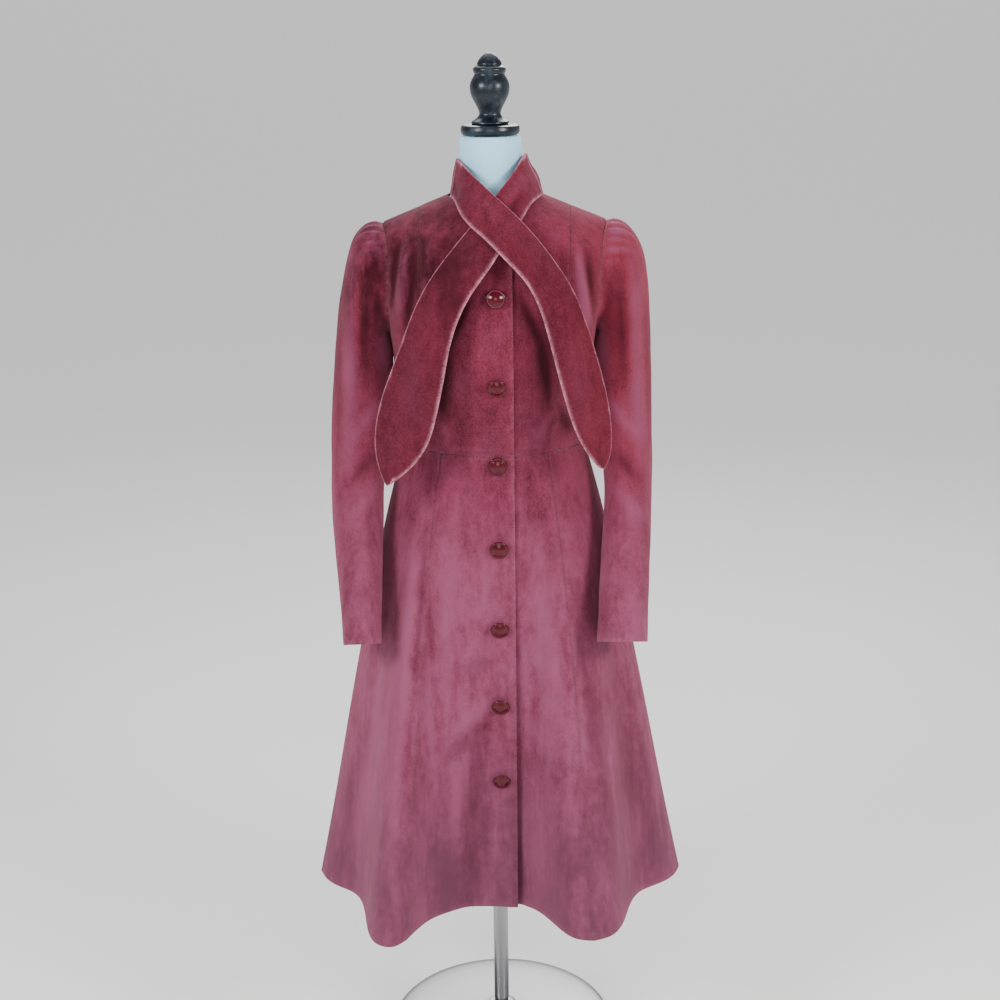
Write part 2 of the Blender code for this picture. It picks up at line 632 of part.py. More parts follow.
def panel(name, surface, low, high, columns, sign, sides, material, upper=False):
    """A cloth panel between two edges of a surface, each a row of angles and a row of heights.

    The right-hand pieces are the mirror image of the left-hand ones. The upper front is lifted over the
    under one, and its lift is worked out on the side where it really lies.
    """
    shares = evenly_along(
        lambda place: surface(mix(low[0][0], high[0][0], place) * sign, mix(low[1][0], high[1][0], place)), columns
    )
    angle = mix(low[0][:, None], high[0][:, None], shares)
    z = mix(low[1][:, None], high[1][:, None], shares)
    outer = surface(angle * sign, z)
    normals = outward(surface, angle * sign, z)
    if upper:
        level = unit(normals * np.array([1.0, 1.0, 0.0]))
        outer = outer + level * lap_lift(outer[..., 0], z)[..., None]
    inner = outer - normals * WALL
    cut_short(outer, inner, sides)
    return add_object(name, wall_mesh(name, outer, inner), material)


def build_bodice(velvet):
    """The eight bodice panels."""
    back = back_edge()
    princess_front, princess_back = princess_seam(False), princess_seam(True)
    side_front, side_back = side_edge(False), side_edge(True)
    seams = ["first_row", "last_row"]
    both = seams + ["first_column", "last_column"]
    for sign in (1, -1):
        side = side_name(sign)
        pieces = {
            "bodice_front": (front_edge(sign), princess_front, FRONT_COLUMNS, seams + ["last_column"]),
            "bodice_side_front": (princess_front, side_front, SIDE_COLUMNS, both),
            "bodice_side_back": (side_back, princess_back, SIDE_COLUMNS, both),
            "bodice_back": (princess_back, back, FRONT_COLUMNS - 1, both),
        }
        for name, (low, high, columns, sides) in pieces.items():
            upper = name == "bodice_front" and sign < 0
            panel(f"{name}_{side}", bodice_point, low, high, columns, sign, sides, velvet, upper)


def build_skirt(velvet):
    """The eight skirt gores."""
    z = np.linspace(HEM, WAIST, SKIRT_ROWS + 1)
    down = flare(z)
    front_seam = mix(PRINCESS_WAIST_FRONT, PRINCESS_HEM_FRONT, down)
    back_seam = mix(PRINCESS_WAIST_BACK, PRINCESS_HEM_BACK, down)
    side, centre_back = np.full_like(z, 90.0), np.full_like(z, 180.0)
    for sign in (1, -1):
        edge = -np.degrees(np.arcsin((LAP - sign * SHOULDER_LEAN) / SKIRT.half_width(z)))
        gores = {
            "front": (edge, front_seam),
            "side_front": (front_seam, side),
            "side_back": (side, back_seam),
            "back": (back_seam, centre_back),
        }
        for gore, (low, high) in gores.items():
            sides = ["last_row", "last_column"] + (["first_column"] if gore != "front" else [])
            upper = gore == "front" and sign < 0
            name = f"skirt_{gore}_{side_name(sign)}"
            panel(name, skirt_point, (low, z), (high, z), SKIRT_COLUMNS[gore], sign, sides, velvet, upper)


def sleeve_head(sign):
    """The armhole's loop, just inside its edge, and each point's share of the way from underarm to shoulder."""
    front, back = armhole(False), armhole(True)
    loop = np.concatenate([front, back[:, -2:0:-1]], axis=1)
    share = np.concatenate([np.linspace(0, 1, ARMHOLE_ROWS + 1), np.linspace(1, 0, ARMHOLE_ROWS + 1)[1:-1]])
    edge = bodice_point(loop[0] * sign, loop[1])
    depth = outward(bodice_point, loop[0] * sign, loop[1])
    along = unit(np.roll(edge, -1, axis=0) - np.roll(edge, 1, axis=0))
    into_hole = np.cross(along, depth) * sign
    return edge - depth * WALL / 2 + unit(into_hole) * SEAM_GAP, unit(into_hole), share


def sleeve(name, rings, sign, velvet):
    """A set-in sleeve with its head gathered into the armhole."""
    head, into_hole, share = sleeve_head(sign)
    behind = np.arange(len(share)) > ARMHOLE_ROWS
    turn = np.pi * share
    gathered = ease((share - GATHERED_FROM) / 0.12)
    ridge = np.where(np.arange(len(share)) % 2 == 0, 1.0, -1.0) * gathered
    rows = [head]
    for ring in rings:
        outer = np.array([ring.outer_x * sign, ring.middle_y, ring.outer_z])
        inner = np.array([ring.inner_x * sign, ring.middle_y, ring.inner_z])
        middle, reach = (outer + inner) / 2, (outer - inner) / 2
        lean = math.radians(ring.lean)
        forward = np.array([0.0, -math.cos(lean), math.sin(lean)]) * np.where(behind, -1.0, 1.0)[:, None]
        row = middle - np.cos(turn)[:, None] * reach + np.sin(turn)[:, None] * forward * ring.half_depth
        rows.append(row + unit(row - middle) * (ring.gather * ridge)[:, None])
    outside = np.stack(rows)
    normals = grid_normals(outside, True)
    normals *= np.sign(((outside - outside.mean(axis=1, keepdims=True)) * normals).sum())
    inside = outside - normals * WALL
    inside[0] = outside[0] + into_hole * WALL
    add_object(name, wall_mesh(name, outside, inside, closed=True), velvet)


def collar_point(x, z):
    """The collar's surface in front of the neck and over the chest."""
    share = np.clip(np.abs(x - COLLAR.left(z)) / COLLAR.half_width(z), 0, 1)
    return np.stack([x, -COLLAR.front(z) * np.sqrt(1 - share**2), z], axis=-1)


def stand_point(from_back, z):
    """The collar's surface round the neck: the point at a height, this many degrees round from the centre back."""
    around = np.radians(from_back)
    reach = np.where(np.cos(around) > 0, COLLAR.back(z), COLLAR.front(z))
    x = COLLAR.half_width(z) * np.sin(around) + COLLAR.left(z)
    return np.stack([x, reach * np.cos(around), z], axis=-1)


def collar_outward(points):
    """The collar's normals where it stands round the neck, pointing away from it."""
    x, y, z = np.moveaxis(points, -1, 0)

    def level(height):
        reach = np.where(y > 0, COLLAR.back(height), COLLAR.front(height))
        return ((x - COLLAR.left(height)) / COLLAR.half_width(height)) ** 2 + (y / reach) ** 2

    reach = np.where(y > 0, COLLAR.back(z), COLLAR.front(z))
    rise = 0.001
    slope = (level(z + rise) - level(z - rise)) / (4 * rise)
    return unit(np.stack([(x - COLLAR.left(z)) / COLLAR.half_width(z) ** 2, y / reach**2, slope], axis=-1))


def tie(name, stations, sign, lift, velvet):
    """One end of the scarf collar, from its seam with the stand to its rounded point."""
    shares = np.linspace(0, 1, TIE_COLUMNS + 1)
    end = STAND_REACH * sign
    seam = stand_point(end, mix(STAND.top(end), STAND.base(end), shares))
    stations = [TieStation(seam[0, 0], seam[0, 2], seam[-1, 0], seam[-1, 2])] + stations
    places = np.linspace(0, 1, len(stations))
    along = np.linspace(0, 1, TIE_ROWS + 1) ** TIE_ROWS_CLOSER_AT_NECK
    edges = [smooth_curve(places, [station[i] for station in stations])(along) for i in range(4)]
    x = mix(edges[0][:, None], edges[2][:, None], shares)
    z = mix(edges[1][:, None], edges[3][:, None], shares)
    lifted = ease(along / TIE_RISES_OVER)[:, None]
    on_coat = body_depth(x - SHOULDER_LEAN, z, False) + WALL + LAP_GAP + DOUBLE_WALL + TIE_CLEARANCE
    outer = collar_point(x, z)
    depth = np.maximum(-outer[..., 1], on_coat * lifted) + lift * lifted
    outer[..., 1] = -depth - TIE_CROWN * np.sin(np.pi * shares) * lifted
    normals = grid_normals(outer, False)
    normals *= np.sign(-normals[..., 1].sum())
    outer[0], normals[0] = seam, collar_outward(seam)
    inner = outer - normals * DOUBLE_WALL
    cut_short(outer, inner, ["first_row"])
    add_object(name, wall_mesh(name, outer, inner), velvet)


def build_collar(velvet):
    """The stand round the back and sides of the neck, and the two ties."""
    from_back = np.linspace(-STAND_REACH, STAND_REACH, STAND_COLUMNS + 1)
    z = mix(STAND.base(from_back), STAND.top(from_back), np.linspace(0, 1, TIE_COLUMNS + 1)[:, None])
    outer = stand_point(from_back, z)
    inner = outer - collar_outward(outer) * DOUBLE_WALL
    cut_short(outer, inner, ["first_column", "last_column"])
    add_object("collar_stand", wall_mesh("collar_stand", outer, inner), velvet)
    tie("tie_left", TIE_LEFT, 1, 0.0, velvet)
    tie("tie_right", TIE_RIGHT, -1, TIE_CROSSING_LIFT, velvet)


def turned(name, profile, base_z, steps, material):
    """A turned piece: its profile, from the top down its outer side, spun round the vertical axis."""
    shape = bmesh.new()
    points = [(point.radius, 0, base_z + point.rise) for point in profile]
    if points[0][0] > 0:
        points.insert(0, (0.0, 0, points[0][2]))
    points.append((0.0, 0, points[-1][2]))
    verts = [shape.verts.new(point) for point in points]
    for upper, lower in zip(verts, verts[1:]):
        shape.edges.new((upper, lower))
    mesh = bpy.data.meshes.new(name)
    shape.to_mesh(mesh)
    shape.free()
    thing = add_object(name, mesh, material)
    spin = thing.modifiers.new("turning", "SCREW")
    spin.steps = spin.render_steps = steps
    spin.use_merge_vertices = True
    spin.merge_threshold = 0.00001
    return thing


def build_buttons(material):
    """The seven domed buttons down the upper front, each on a short shank."""
    profile = [ProfilePoint(p.rise + SHANK_LENGTH, p.radius * BUTTON_RADIUS / 0.0138) for p in BUTTON_PROFILE]
    profile += [ProfilePoint(SHANK_LENGTH, SHANK_RADIUS), ProfilePoint(0.0, SHANK_RADIUS)]
    for index in range(BUTTON_COUNT):
        z = TOP_BUTTON - index * BUTTON_SPACING
        if z > WAIST:
            surface, angle = bodice_point, bodice_angle(SHOULDER_LEAN - lean_at(z), z, False)
        else:
            surface, angle = skirt_point, np.degrees(np.arcsin(SHOULDER_LEAN / SKIRT.half_width(z)))
        normal = outward(surface, angle, np.array(z))
        seat = surface(angle, z) + normal * (lap_lift(SHOULDER_LEAN, z) + SEAM_GAP)
        button = turned(f"button_{index + 1}", profile, 0.0, BUTTON_STEPS, material)
        button.location = seat
        tilt = math.atan2(-normal[1], normal[2]) + math.radians(BUTTON_DROOP[index])
        button.rotation_euler = (tilt, 0, 0)
        droop_room = SHANK_RADIUS * math.sin(math.radians(BUTTON_DROOP[index]))
        button.location = seat + normal * droop_room


def form_ring(z, angle):
    """One ring of the form: the coat's own surface drawn in above the waist, then the neck."""
    if z < WAIST:
        turn = np.radians(angle)
        reach = np.where(np.cos(turn) < 0, HIPS.back(z), HIPS.front(z))
        return np.stack([HIPS.half_width(z) * np.sin(turn), -reach * np.cos(turn), np.full_like(angle, z)], -1)
    height = np.full_like(angle, z)
    body = bodice_point(angle, np.minimum(height, NECK_POINT_Z))
    along_shoulder = np.exp(-(((np.abs(angle) - 90) / FORM_RIDGE_DEGREES) ** 2))
    ridge = along_shoulder * ease((z - FORM_RIDGE_FROM) / FORM_RIDGE_EASE)
    clearance = WALL + mix(FORM_BODY_CLEARANCE, FORM_SHOULDER_CLEARANCE, ridge)
    waist_room = FORM_WAIST_ROOM * (1 - ease((z - WAIST) / FORM_WAIST_ROOM_UP))
    inward = -outward(bodice_point, angle, np.minimum(height, NECK_POINT_Z))
    body = body + inward * (clearance + waist_room)[:, None]
    body[:, 0] = np.clip(body[:, 0], -ARM_PLATE_X, ARM_PLATE_X)
    spread = 1 + NECK_FLARE * math.exp(-max(z - NECK_FLARE_FROM, 0) / NECK_FLARE_UP)
    neck = np.stack(
        [
            NECK_HALF_WIDTH * spread * np.sin(np.radians(angle)),
            -NECK_HALF_DEPTH * spread * np.cos(np.radians(angle)),
            height,
        ],
        -1,
    )
    return mix(body, neck, ease((z - NECK_STARTS) / NECK_BLEND))


def build_form(jersey, lacquer, steel):
    """The limbless form, its turned cap and finial, its pole and its base."""
    angle = np.linspace(-180, 180, FORM_COLUMNS + 1)[:-1]
    rings = [form_ring(z, angle) for z in FORM_HEIGHTS]
    shape = bmesh.new()
    rows = [[shape.verts.new(point) for point in ring] for ring in rings]
    for low, high in zip(rows, rows[1:]):
        for j in range(FORM_COLUMNS):
            k = (j + 1) % FORM_COLUMNS
            shape.faces.new([low[j], low[k], high[k], high[j]])
    shape.faces.new(rows[0])
    shape.faces.new(rows[-1])
    bmesh.ops.triangulate(shape, faces=shape.faces[:])
    bmesh.ops.recalc_face_normals(shape, faces=shape.faces[:])
    mesh = bpy.data.meshes.new("form_torso")
    shape.to_mesh(mesh)
    shape.free()
    mesh.shade_smooth()
    mesh.set_sharp_from_angle(angle=math.radians(50))
    add_object("form_torso", mesh, jersey)
    turned("form_neck_cap", CAP_PROFILE, NECK_TOP, CAP_STEPS, lacquer)
    turned("form_finial", FINIAL_PROFILE, NECK_TOP, CAP_STEPS, lacquer)
    pole = [
        ProfilePoint(FORM_BOTTOM - SEAM_GAP, POLE_RADIUS),
        ProfilePoint(BASE_THICKNESS + BASE_BOSS_HEIGHT + SEAM_GAP, POLE_RADIUS),
    ]
    turned("form_pole", pole, 0.0, POLE_SIDES, steel)
    boss_top = BASE_THICKNESS + BASE_BOSS_HEIGHT
    base = [
        ProfilePoint(boss_top, BASE_BOSS_RADIUS - BASE_CHAMFER),
        ProfilePoint(boss_top - BASE_CHAMFER, BASE_BOSS_RADIUS),
        ProfilePoint(BASE_THICKNESS + BASE_CHAMFER, BASE_BOSS_RADIUS),
        ProfilePoint(BASE_THICKNESS, BASE_BOSS_RADIUS + BASE_FILLET),
        ProfilePoint(BASE_THICKNESS, BASE_RADIUS - BASE_RIM_RUN),
        ProfilePoint(BASE_THICKNESS - BASE_CHAMFER, BASE_RADIUS),
        ProfilePoint(0.0, BASE_RADIUS),
    ]
    turned("form_base", base, 0.0, 2 * CAP_STEPS, steel)


def main():
    """Clears the scene and builds the coat on its form."""
    for thing in list(bpy.data.objects):
        bpy.data.objects.remove(thing)
    bpy.context.scene.collection.children.link(bpy.data.collections.new(COLLECTION))
    velvet = finish("wine_velvet", VELVET, 0.85)
    under_velvet = finish("wine_velvet_collar", VELVET_UNDER, 0.85)
    build_bodice(velvet)
    build_skirt(velvet)
    sleeve("sleeve_left", SLEEVE_LEFT, 1, velvet)
    sleeve("sleeve_right", SLEEVE_RIGHT, -1, velvet)
    build_collar(under_velvet)
    build_buttons(finish("button_resin", BUTTON_COLOUR, 0.12))
    jersey = finish("white_jersey", JERSEY_COLOUR, 0.8)
    lacquer = finish("black_lacquer", LACQUER_COLOUR, 0.3)
    steel = finish("satin_steel", STEEL_COLOUR, 0.35, 1.0)
    build_form(jersey, lacquer, steel)


if __name__ == "__main__":
    main()
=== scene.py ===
"""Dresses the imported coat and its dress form, in velvet, resin, jersey, lacquer and steel.

Each cloth piece starts from the outer skin of its solid, so it hangs exactly where the solid is. The skin is
made smooth, given its folds, gathers and sunken seams, and then its thickness with soft edges. The coat faces
-Y, +X is the wearer's left and +Z is up, in metres.
"""

from __future__ import annotations

import logging
import math
from dataclasses import dataclass, field
from enum import Enum

import bmesh
import bpy
import numpy as np
from mathutils import Euler, Matrix, Vector
from mathutils.bvhtree import BVHTree


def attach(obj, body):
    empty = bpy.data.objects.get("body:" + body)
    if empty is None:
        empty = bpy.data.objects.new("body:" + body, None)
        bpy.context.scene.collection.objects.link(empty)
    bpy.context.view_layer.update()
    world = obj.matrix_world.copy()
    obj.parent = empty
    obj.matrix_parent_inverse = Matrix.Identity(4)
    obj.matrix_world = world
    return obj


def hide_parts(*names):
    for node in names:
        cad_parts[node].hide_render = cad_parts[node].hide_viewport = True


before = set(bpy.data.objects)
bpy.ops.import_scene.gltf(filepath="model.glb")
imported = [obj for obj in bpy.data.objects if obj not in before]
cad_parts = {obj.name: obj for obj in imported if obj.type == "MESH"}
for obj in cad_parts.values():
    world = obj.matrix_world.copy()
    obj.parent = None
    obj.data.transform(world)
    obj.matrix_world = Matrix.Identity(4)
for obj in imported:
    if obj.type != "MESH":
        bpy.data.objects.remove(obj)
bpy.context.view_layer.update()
BODY = "root"
LOG = logging.getLogger("coat")

WAIST = 1.040
HEM = 0.300
LAP_EDGE = 0.024
ARMHOLE_CENTRE_Z = 1.300
RIM_TURN = math.radians(62)
RIM_DEPTH_IN_WALLS = 1.7
WELD_DISTANCE = 1e-6
OUTER_EDGE_FADE = 4.0
HOLLOW_DEPTH = 0.0030
SEAM_PINCH_REACH = 0.0040
SEAM_CALM_REACH = 0.009
WAIST_SEAM_REACH = 0.012
PLEAT_RISE_REACH = 0.006
EDGE_NEARNESS = 0.012
TIE_BANDS = 24

# How dark the painted shade in a fold's hollow is, from 0 to 1
BODICE_FOLD_SHADE = 0.95
SLEEVE_FOLD_SHADE = 0.75
SKIRT_FOLD_SHADE = 0.42

# Lights
LIT_PLACE = (0.0, 0.0, 0.95)
WORLD_STRENGTH = 0.36
DAYLIGHT_STRENGTH = 1.9
DAYLIGHT_SPREAD = math.radians(60)
DAYLIGHT_TILT = math.radians(-35)


# Shader maths


@dataclass(frozen=True)
class Value:
    """A shader value or colour, with the sums that the finishes need."""

    socket: bpy.types.NodeSocket
    book: NodeBook

    def _math(self, operation: str, *values: Value | float) -> Value:
        """One Math node on these values.

        Args:
            operation: The Math node's operation.
            values: The inputs, in order.

        Returns:
            The node's result.
        """
        return self.book.node("ShaderNodeMath", {"operation": operation}, dict(enumerate(values)))

    def __add__(self, other: Value | float) -> Value:
        """Self plus other."""
        return self._math("ADD", self, other)

    def __radd__(self, other: float) -> Value:
        """Other plus self."""
        return self._math("ADD", other, self)

    def __sub__(self, other: Value | float) -> Value:
        """Self minus other."""
        return self._math("SUBTRACT", self, other)

    def __rsub__(self, other: float) -> Value:
        """Other minus self."""
        return self._math("SUBTRACT", other, self)

    def __mul__(self, other: Value | float) -> Value:
        """Self times other."""
        return self._math("MULTIPLY", self, other)

    def clamped(self) -> Value:
        """Self, kept from 0 to 1."""
        return self._math("MINIMUM", self._math("MAXIMUM", self, 0.0), 1.0)


@dataclass
class NodeBook:
    """A new material with its Principled shader, and the one way in which nodes are added to it."""

    name: str
    material: bpy.types.Material = field(init=False)
    shader: bpy.types.Node = field(init=False)

    def __post_init__(self) -> None:
        """Makes the material."""
        self.material = bpy.data.materials.new(self.name)
        self.material.use_nodes = True
        self.shader = self.material.node_tree.nodes["Principled BSDF"]

    def node(self, kind: str, settings: dict, inputs: dict, output: int | str = 0) -> Value:
        """Adds a node.

        Args:
            kind: The node's type.
            settings: Its settings, set first. "stops" are a ramp's places and colours.
            inputs: The values or links of its sockets, by name or number.
            output: The socket to hand back.

        Returns:
            That output.
        """
        made = self.material.node_tree.nodes.new(kind)
        for name, value in settings.items():
            if name == "stops":
                self._set_stops(made.color_ramp, value)
            else:
                setattr(made, name, value)
        for name, value in inputs.items():
            self.feed(made.inputs[name], value)
        return Value(made.outputs[output], self)

    @staticmethod
    def _set_stops(ramp: bpy.types.ColorRamp, stops: list) -> None:
        """Sets a ramp's stops, as (place, colour) pairs."""
        while len(ramp.elements) < len(stops):
            ramp.elements.new(0.5)
        for element, (place, colour) in zip(ramp.elements, stops):
            element.position = place
            element.color = (*colour, 1)

    def feed(self, socket: bpy.types.NodeSocket, value: Value | float | tuple) -> None:
        """Links a value to a socket, or sets the socket to a constant."""
        if isinstance(value, Value):
            self.material.node_tree.links.new(value.socket, socket)
        elif isinstance(value, tuple) and socket.type == "RGBA":
            socket.default_value = (*value, 1)
        else:
            socket.default_value = value

    def place(self) -> Value:
        """The point of the object, in metres."""
        return self.node("ShaderNodeTexCoord", {}, {}, "Object")

    def stretched(self, place: Value, scale: tuple[float, float, float]) -> Value:
        """The place, scaled along each axis."""
        return self.node("ShaderNodeMapping", {}, {"Vector": place, "Scale": scale})

    def noise(self, place: Value, scale: float, detail: float = 2.0, roughness: float = 0.5) -> Value:
        """Noise from 0 to 1 at a scale, in waves a metre."""
        inputs = {"Vector": place, "Scale": scale, "Detail": detail, "Roughness": roughness}
        return self.node("ShaderNodeTexNoise", {}, inputs, "Fac")

    def measure(self, name: str) -> Value:
        """A number that the mesh holds at each of its points."""
        return self.node("ShaderNodeAttribute", {"attribute_name": name}, {}, "Fac")

    def mixed(self, share: Value | float, low: Value | tuple, high: Value | tuple) -> Value:
        """The colour between two others."""
        inputs = {"Factor": share, 6: low, 7: high}
        return self.node("ShaderNodeMix", {"data_type": "RGBA"}, inputs, 2)

    def stepped(self, value: Value, low: float, high: float) -> Value:
        """0 below low, 1 above high and smooth between."""
        inputs = {"Value": value, "From Min": low, "From Max": high}
        return self.node("ShaderNodeMapRange", {"interpolation_type": "SMOOTHSTEP"}, inputs)

    def bumped(self, height: Value, distance: float, strength: float = 1.0) -> Value:
        """The normal over a height from 0 to 1, this many metres deep."""
        return self.node("ShaderNodeBump", {}, {"Height": height, "Distance": distance, "Strength": strength})

    def set(self, **inputs: Value | float | tuple) -> None:
        """Feeds the shader's sockets, with _ for each space in a socket's name."""
        for name, value in inputs.items():
            self.feed(self.shader.inputs[name.replace("_", " ")], value)


# Finishes


@dataclass(frozen=True)
class VelvetFinish:
    """Wine cotton velvet: a short pile that lies in streaks and patches, with painted highlights on its
    edges, seams and ridges, painted sheen lower down, and painted shade in hollows and seams, on the wearer's
    right chest, the lower ties and near the hem.
    """

    name: str
    deep: tuple[float, float, float] = (0.040, 0.0028, 0.0080)
    wine: tuple[float, float, float] = (0.200, 0.0210, 0.0450)
    mauve: tuple[float, float, float] = (0.285, 0.0760, 0.1500)
    hem_shade: tuple[float, float, float] = (0.135, 0.0440, 0.0800)
    highlight_pink: tuple[float, float, float] = (0.520, 0.2100, 0.2800)
    red: tuple[float, float, float] = (0.270, 0.0260, 0.0380)
    edge_highlight: float = 0.10
    low_sheen: float = 0.85
    even_mauve: float = 0.10
    low_shade: float = 0.0
    ridge_highlight: float = 0.6

    def build(self) -> bpy.types.Material:
        """The velvet's material."""
        book = NodeBook(self.name)
        place = book.place()
        streaks = book.noise(book.stretched(place, (1.0, 1.0, 0.13)), 34.0, 4.0, 0.62)
        patches = book.noise(place, 11.0, 3.0, 0.6)
        brushed = book.noise(book.stretched(place, (1.0, 1.0, 0.55)), 95.0, 4.0, 0.7)
        grain = book.noise(place, 330.0, 3.0, 0.75)
        pile = book.noise(place, 1500.0, 2.0, 0.7)
        height = book.node("ShaderNodeSeparateXYZ", {}, {"Vector": place}, "Z")
        sideways = book.node("ShaderNodeSeparateXYZ", {}, {"Vector": place}, "X")
        # Painted sheen: the cloth turns paler and mauver lower down
        sheen_below = book.stepped(1.16 - height, 0.0, 0.46)
        lie = patches * 0.30 + streaks * 0.45 + brushed * 0.25
        lie = book.stepped(lie, 0.30, 0.70)
        speckle = (grain - 0.5) * 2.0 + (brushed - 0.5) * 0.9
        colour = book.mixed((0.36 + lie * 0.62 + speckle * 0.32).clamped(), self.deep, self.wine)
        mauve = sheen_below * self.low_sheen * (0.12 + lie) + speckle * 0.30 + self.even_mauve
        colour = book.mixed(mauve.clamped(), colour, self.mauve)
        # Painted shade, darker and greyer toward the hem
        hem_shade = book.stepped(0.66 - height, 0.0, 0.30) * (0.95 - lie * 0.75)
        colour = book.mixed(hem_shade.clamped(), colour, self.hem_shade)
        redness = book.stepped(sideways, 0.05, 0.20) * book.stepped(height, 0.80, 1.30) * 0.42
        colour = book.mixed((redness * (0.4 + lie)).clamped(), colour, self.red)
        shadowed = book.stepped(0.02 - sideways, 0.0, 0.12) * book.stepped(height, 1.16, 1.34) * 1.15
        # Painted highlight on fold ridges, paler toward mauve
        colour = book.mixed((book.measure("ridge") * self.ridge_highlight).clamped(), colour, self.mauve)
        # Painted shade in fold hollows and seams, and on the upper chest on the wearer's right
        colour = book.mixed((book.measure("hollow") + shadowed * (1.1 - lie)).clamped(), colour, self.deep)
        # Painted shade, darker below 1.42 m where the ties hang
        colour = book.mixed(book.stepped(1.42 - height, 0.0, 0.12) * self.low_shade, colour, self.deep)
        # Painted highlight: the pile's sheen along free edges and seams, in broken flecks
        edge = (book.measure("edge") * self.edge_highlight * (grain * 3.0 + brushed * 1.8 - 1.5)).clamped()
        colour = book.mixed(edge, colour, self.highlight_pink)
        book.set(
            Base_Color=colour,
            Roughness=0.9,
            Specular_IOR_Level=0.12,
            Sheen_Weight=0.30,
            Sheen_Roughness=0.45,
            Sheen_Tint=(1.0, 0.40, 0.55),
            Normal=book.bumped(pile * 0.45 + grain * 0.35 + brushed * 0.2, 0.0016, 0.75),
        )
        return book.material


@dataclass(frozen=True)
class ResinFinish:
    """Polished dark burgundy resin with a faint cloud in it."""

    name: str
    dark: tuple[float, float, float] = (0.040, 0.0006, 0.0045)
    light: tuple[float, float, float] = (0.105, 0.0022, 0.0110)

    def build(self) -> bpy.types.Material:
        """The resin's material."""
        book = NodeBook(self.name)
        cloud = book.noise(book.place(), 110.0, 2.0)
        scratches = book.noise(book.place(), 900.0, 2.0)
        book.set(
            Base_Color=book.mixed(cloud, self.dark, self.light),
            Roughness=0.10 + scratches * 0.10,
            Specular_IOR_Level=0.32,
        )
        return book.material


@dataclass(frozen=True)
class JerseyFinish:
    """Stretched white jersey, faintly blue, with its fine ribs."""

    name: str
    white: tuple[float, float, float] = (0.46, 0.82, 1.00)
    shade: tuple[float, float, float] = (0.40, 0.76, 1.00)

    def build(self) -> bpy.types.Material:
        """The jersey's material."""
        book = NodeBook(self.name)
        place = book.place()
        cloud = book.noise(place, 40.0, 3.0)
        stitches = book.noise(book.stretched(place, (1.0, 1.0, 0.35)), 1300.0, 1.0)
        book.set(
            Base_Color=book.mixed(cloud, self.shade, self.white),
            Roughness=0.85,
            Sheen_Weight=0.15,
            Normal=book.bumped(stitches, 0.0004, 0.5),
        )
        return book.material


@dataclass(frozen=True)
class LacquerFinish:
    """Satin black lacquer, brushed round a turned piece and a little rubbed."""

    name: str
    black: tuple[float, float, float] = (0.004, 0.006, 0.010)
    rubbed: tuple[float, float, float] = (0.030, 0.042, 0.060)

    def build(self) -> bpy.types.Material:
        """The lacquer's material."""
        book = NodeBook(self.name)
        place = book.place()
        rings = book.noise(book.stretched(place, (0.15, 0.15, 1.0)), 420.0, 3.0)
        clouds = book.noise(place, 60.0, 4.0, 0.6)
        book.set(
            Base_Color=book.mixed(book.stepped(clouds, 0.45, 0.75), self.black, self.rubbed),
            Roughness=0.22 + clouds * 0.20,
            Specular_Tint=(0.80, 0.92, 1.0),
            Normal=book.bumped(rings * 0.5 + clouds * 0.5, 0.0008, 0.5),
        )
        return book.material


@dataclass(frozen=True)
class SteelFinish:
    """Satin steel, finely brushed."""

    name: str
    grey: tuple[float, float, float] = (0.34, 0.34, 0.35)

    def build(self) -> bpy.types.Material:
        """The steel's material."""
        book = NodeBook(self.name)
        brushing = book.noise(book.stretched(book.place(), (1.0, 1.0, 0.05)), 700.0, 2.0)
        book.set(
            Base_Color=self.grey,
            Metallic=1.0,
            Roughness=0.26 + brushing * 0.16,
            Normal=book.bumped(brushing, 0.0002, 0.4),
        )
        return book.material


@dataclass(frozen=True)
class FloorFinish:
    """A plain pale floor."""

    name: str
    pale: tuple[float, float, float] = (0.88, 0.88, 0.88)

    def build(self) -> bpy.types.Material:
        """The floor's material."""
        book = NodeBook(self.name)
        book.set(Base_Color=self.pale, Roughness=0.7)
        return book.material


# Cloth


class Skin(Enum):
    """What a cloth piece lies round, which tells its outer skin from its inner one."""

    BODY = "body"
    ARM = "arm"
    CHEST = "chest"


@dataclass(frozen=True)
class Fold:
    """A soft fold between two places seen from the front. A hollow has a negative height."""

    start_x: float
    start_z: float
    end_x: float
    end_z: float
    width: float
    height: float
    behind: bool = False

    def at(self, points: np.ndarray) -> np.ndarray:
        """How far the fold lifts each point.

        Args:
            points: The points, one a row.

        Returns:
            A height for each point, in metres.
        """
        start = np.array([self.start_x, self.start_z])
        run = np.array([self.end_x, self.end_z]) - start
        flat = points[:, [0, 2]] - start
        share = (flat @ run) / (run @ run)
        nearest = np.clip(share, 0, 1)[:, None] * run
        away = np.linalg.norm(flat - nearest, axis=1) / self.width
        side = points[:, 1] > 0 if self.behind else points[:, 1] < 0
        taper = np.sin(np.pi * np.clip(share, 0.02, 0.98)) ** 0.7
        return self.height * np.exp(-(away**2)) * taper * side


@dataclass(frozen=True)
class Gather:
    """A pleat of a sleeve's head: its place round the armhole, in degrees to the front, and its size."""

    turn: float
    depth: float
    spread: float
    reach: float


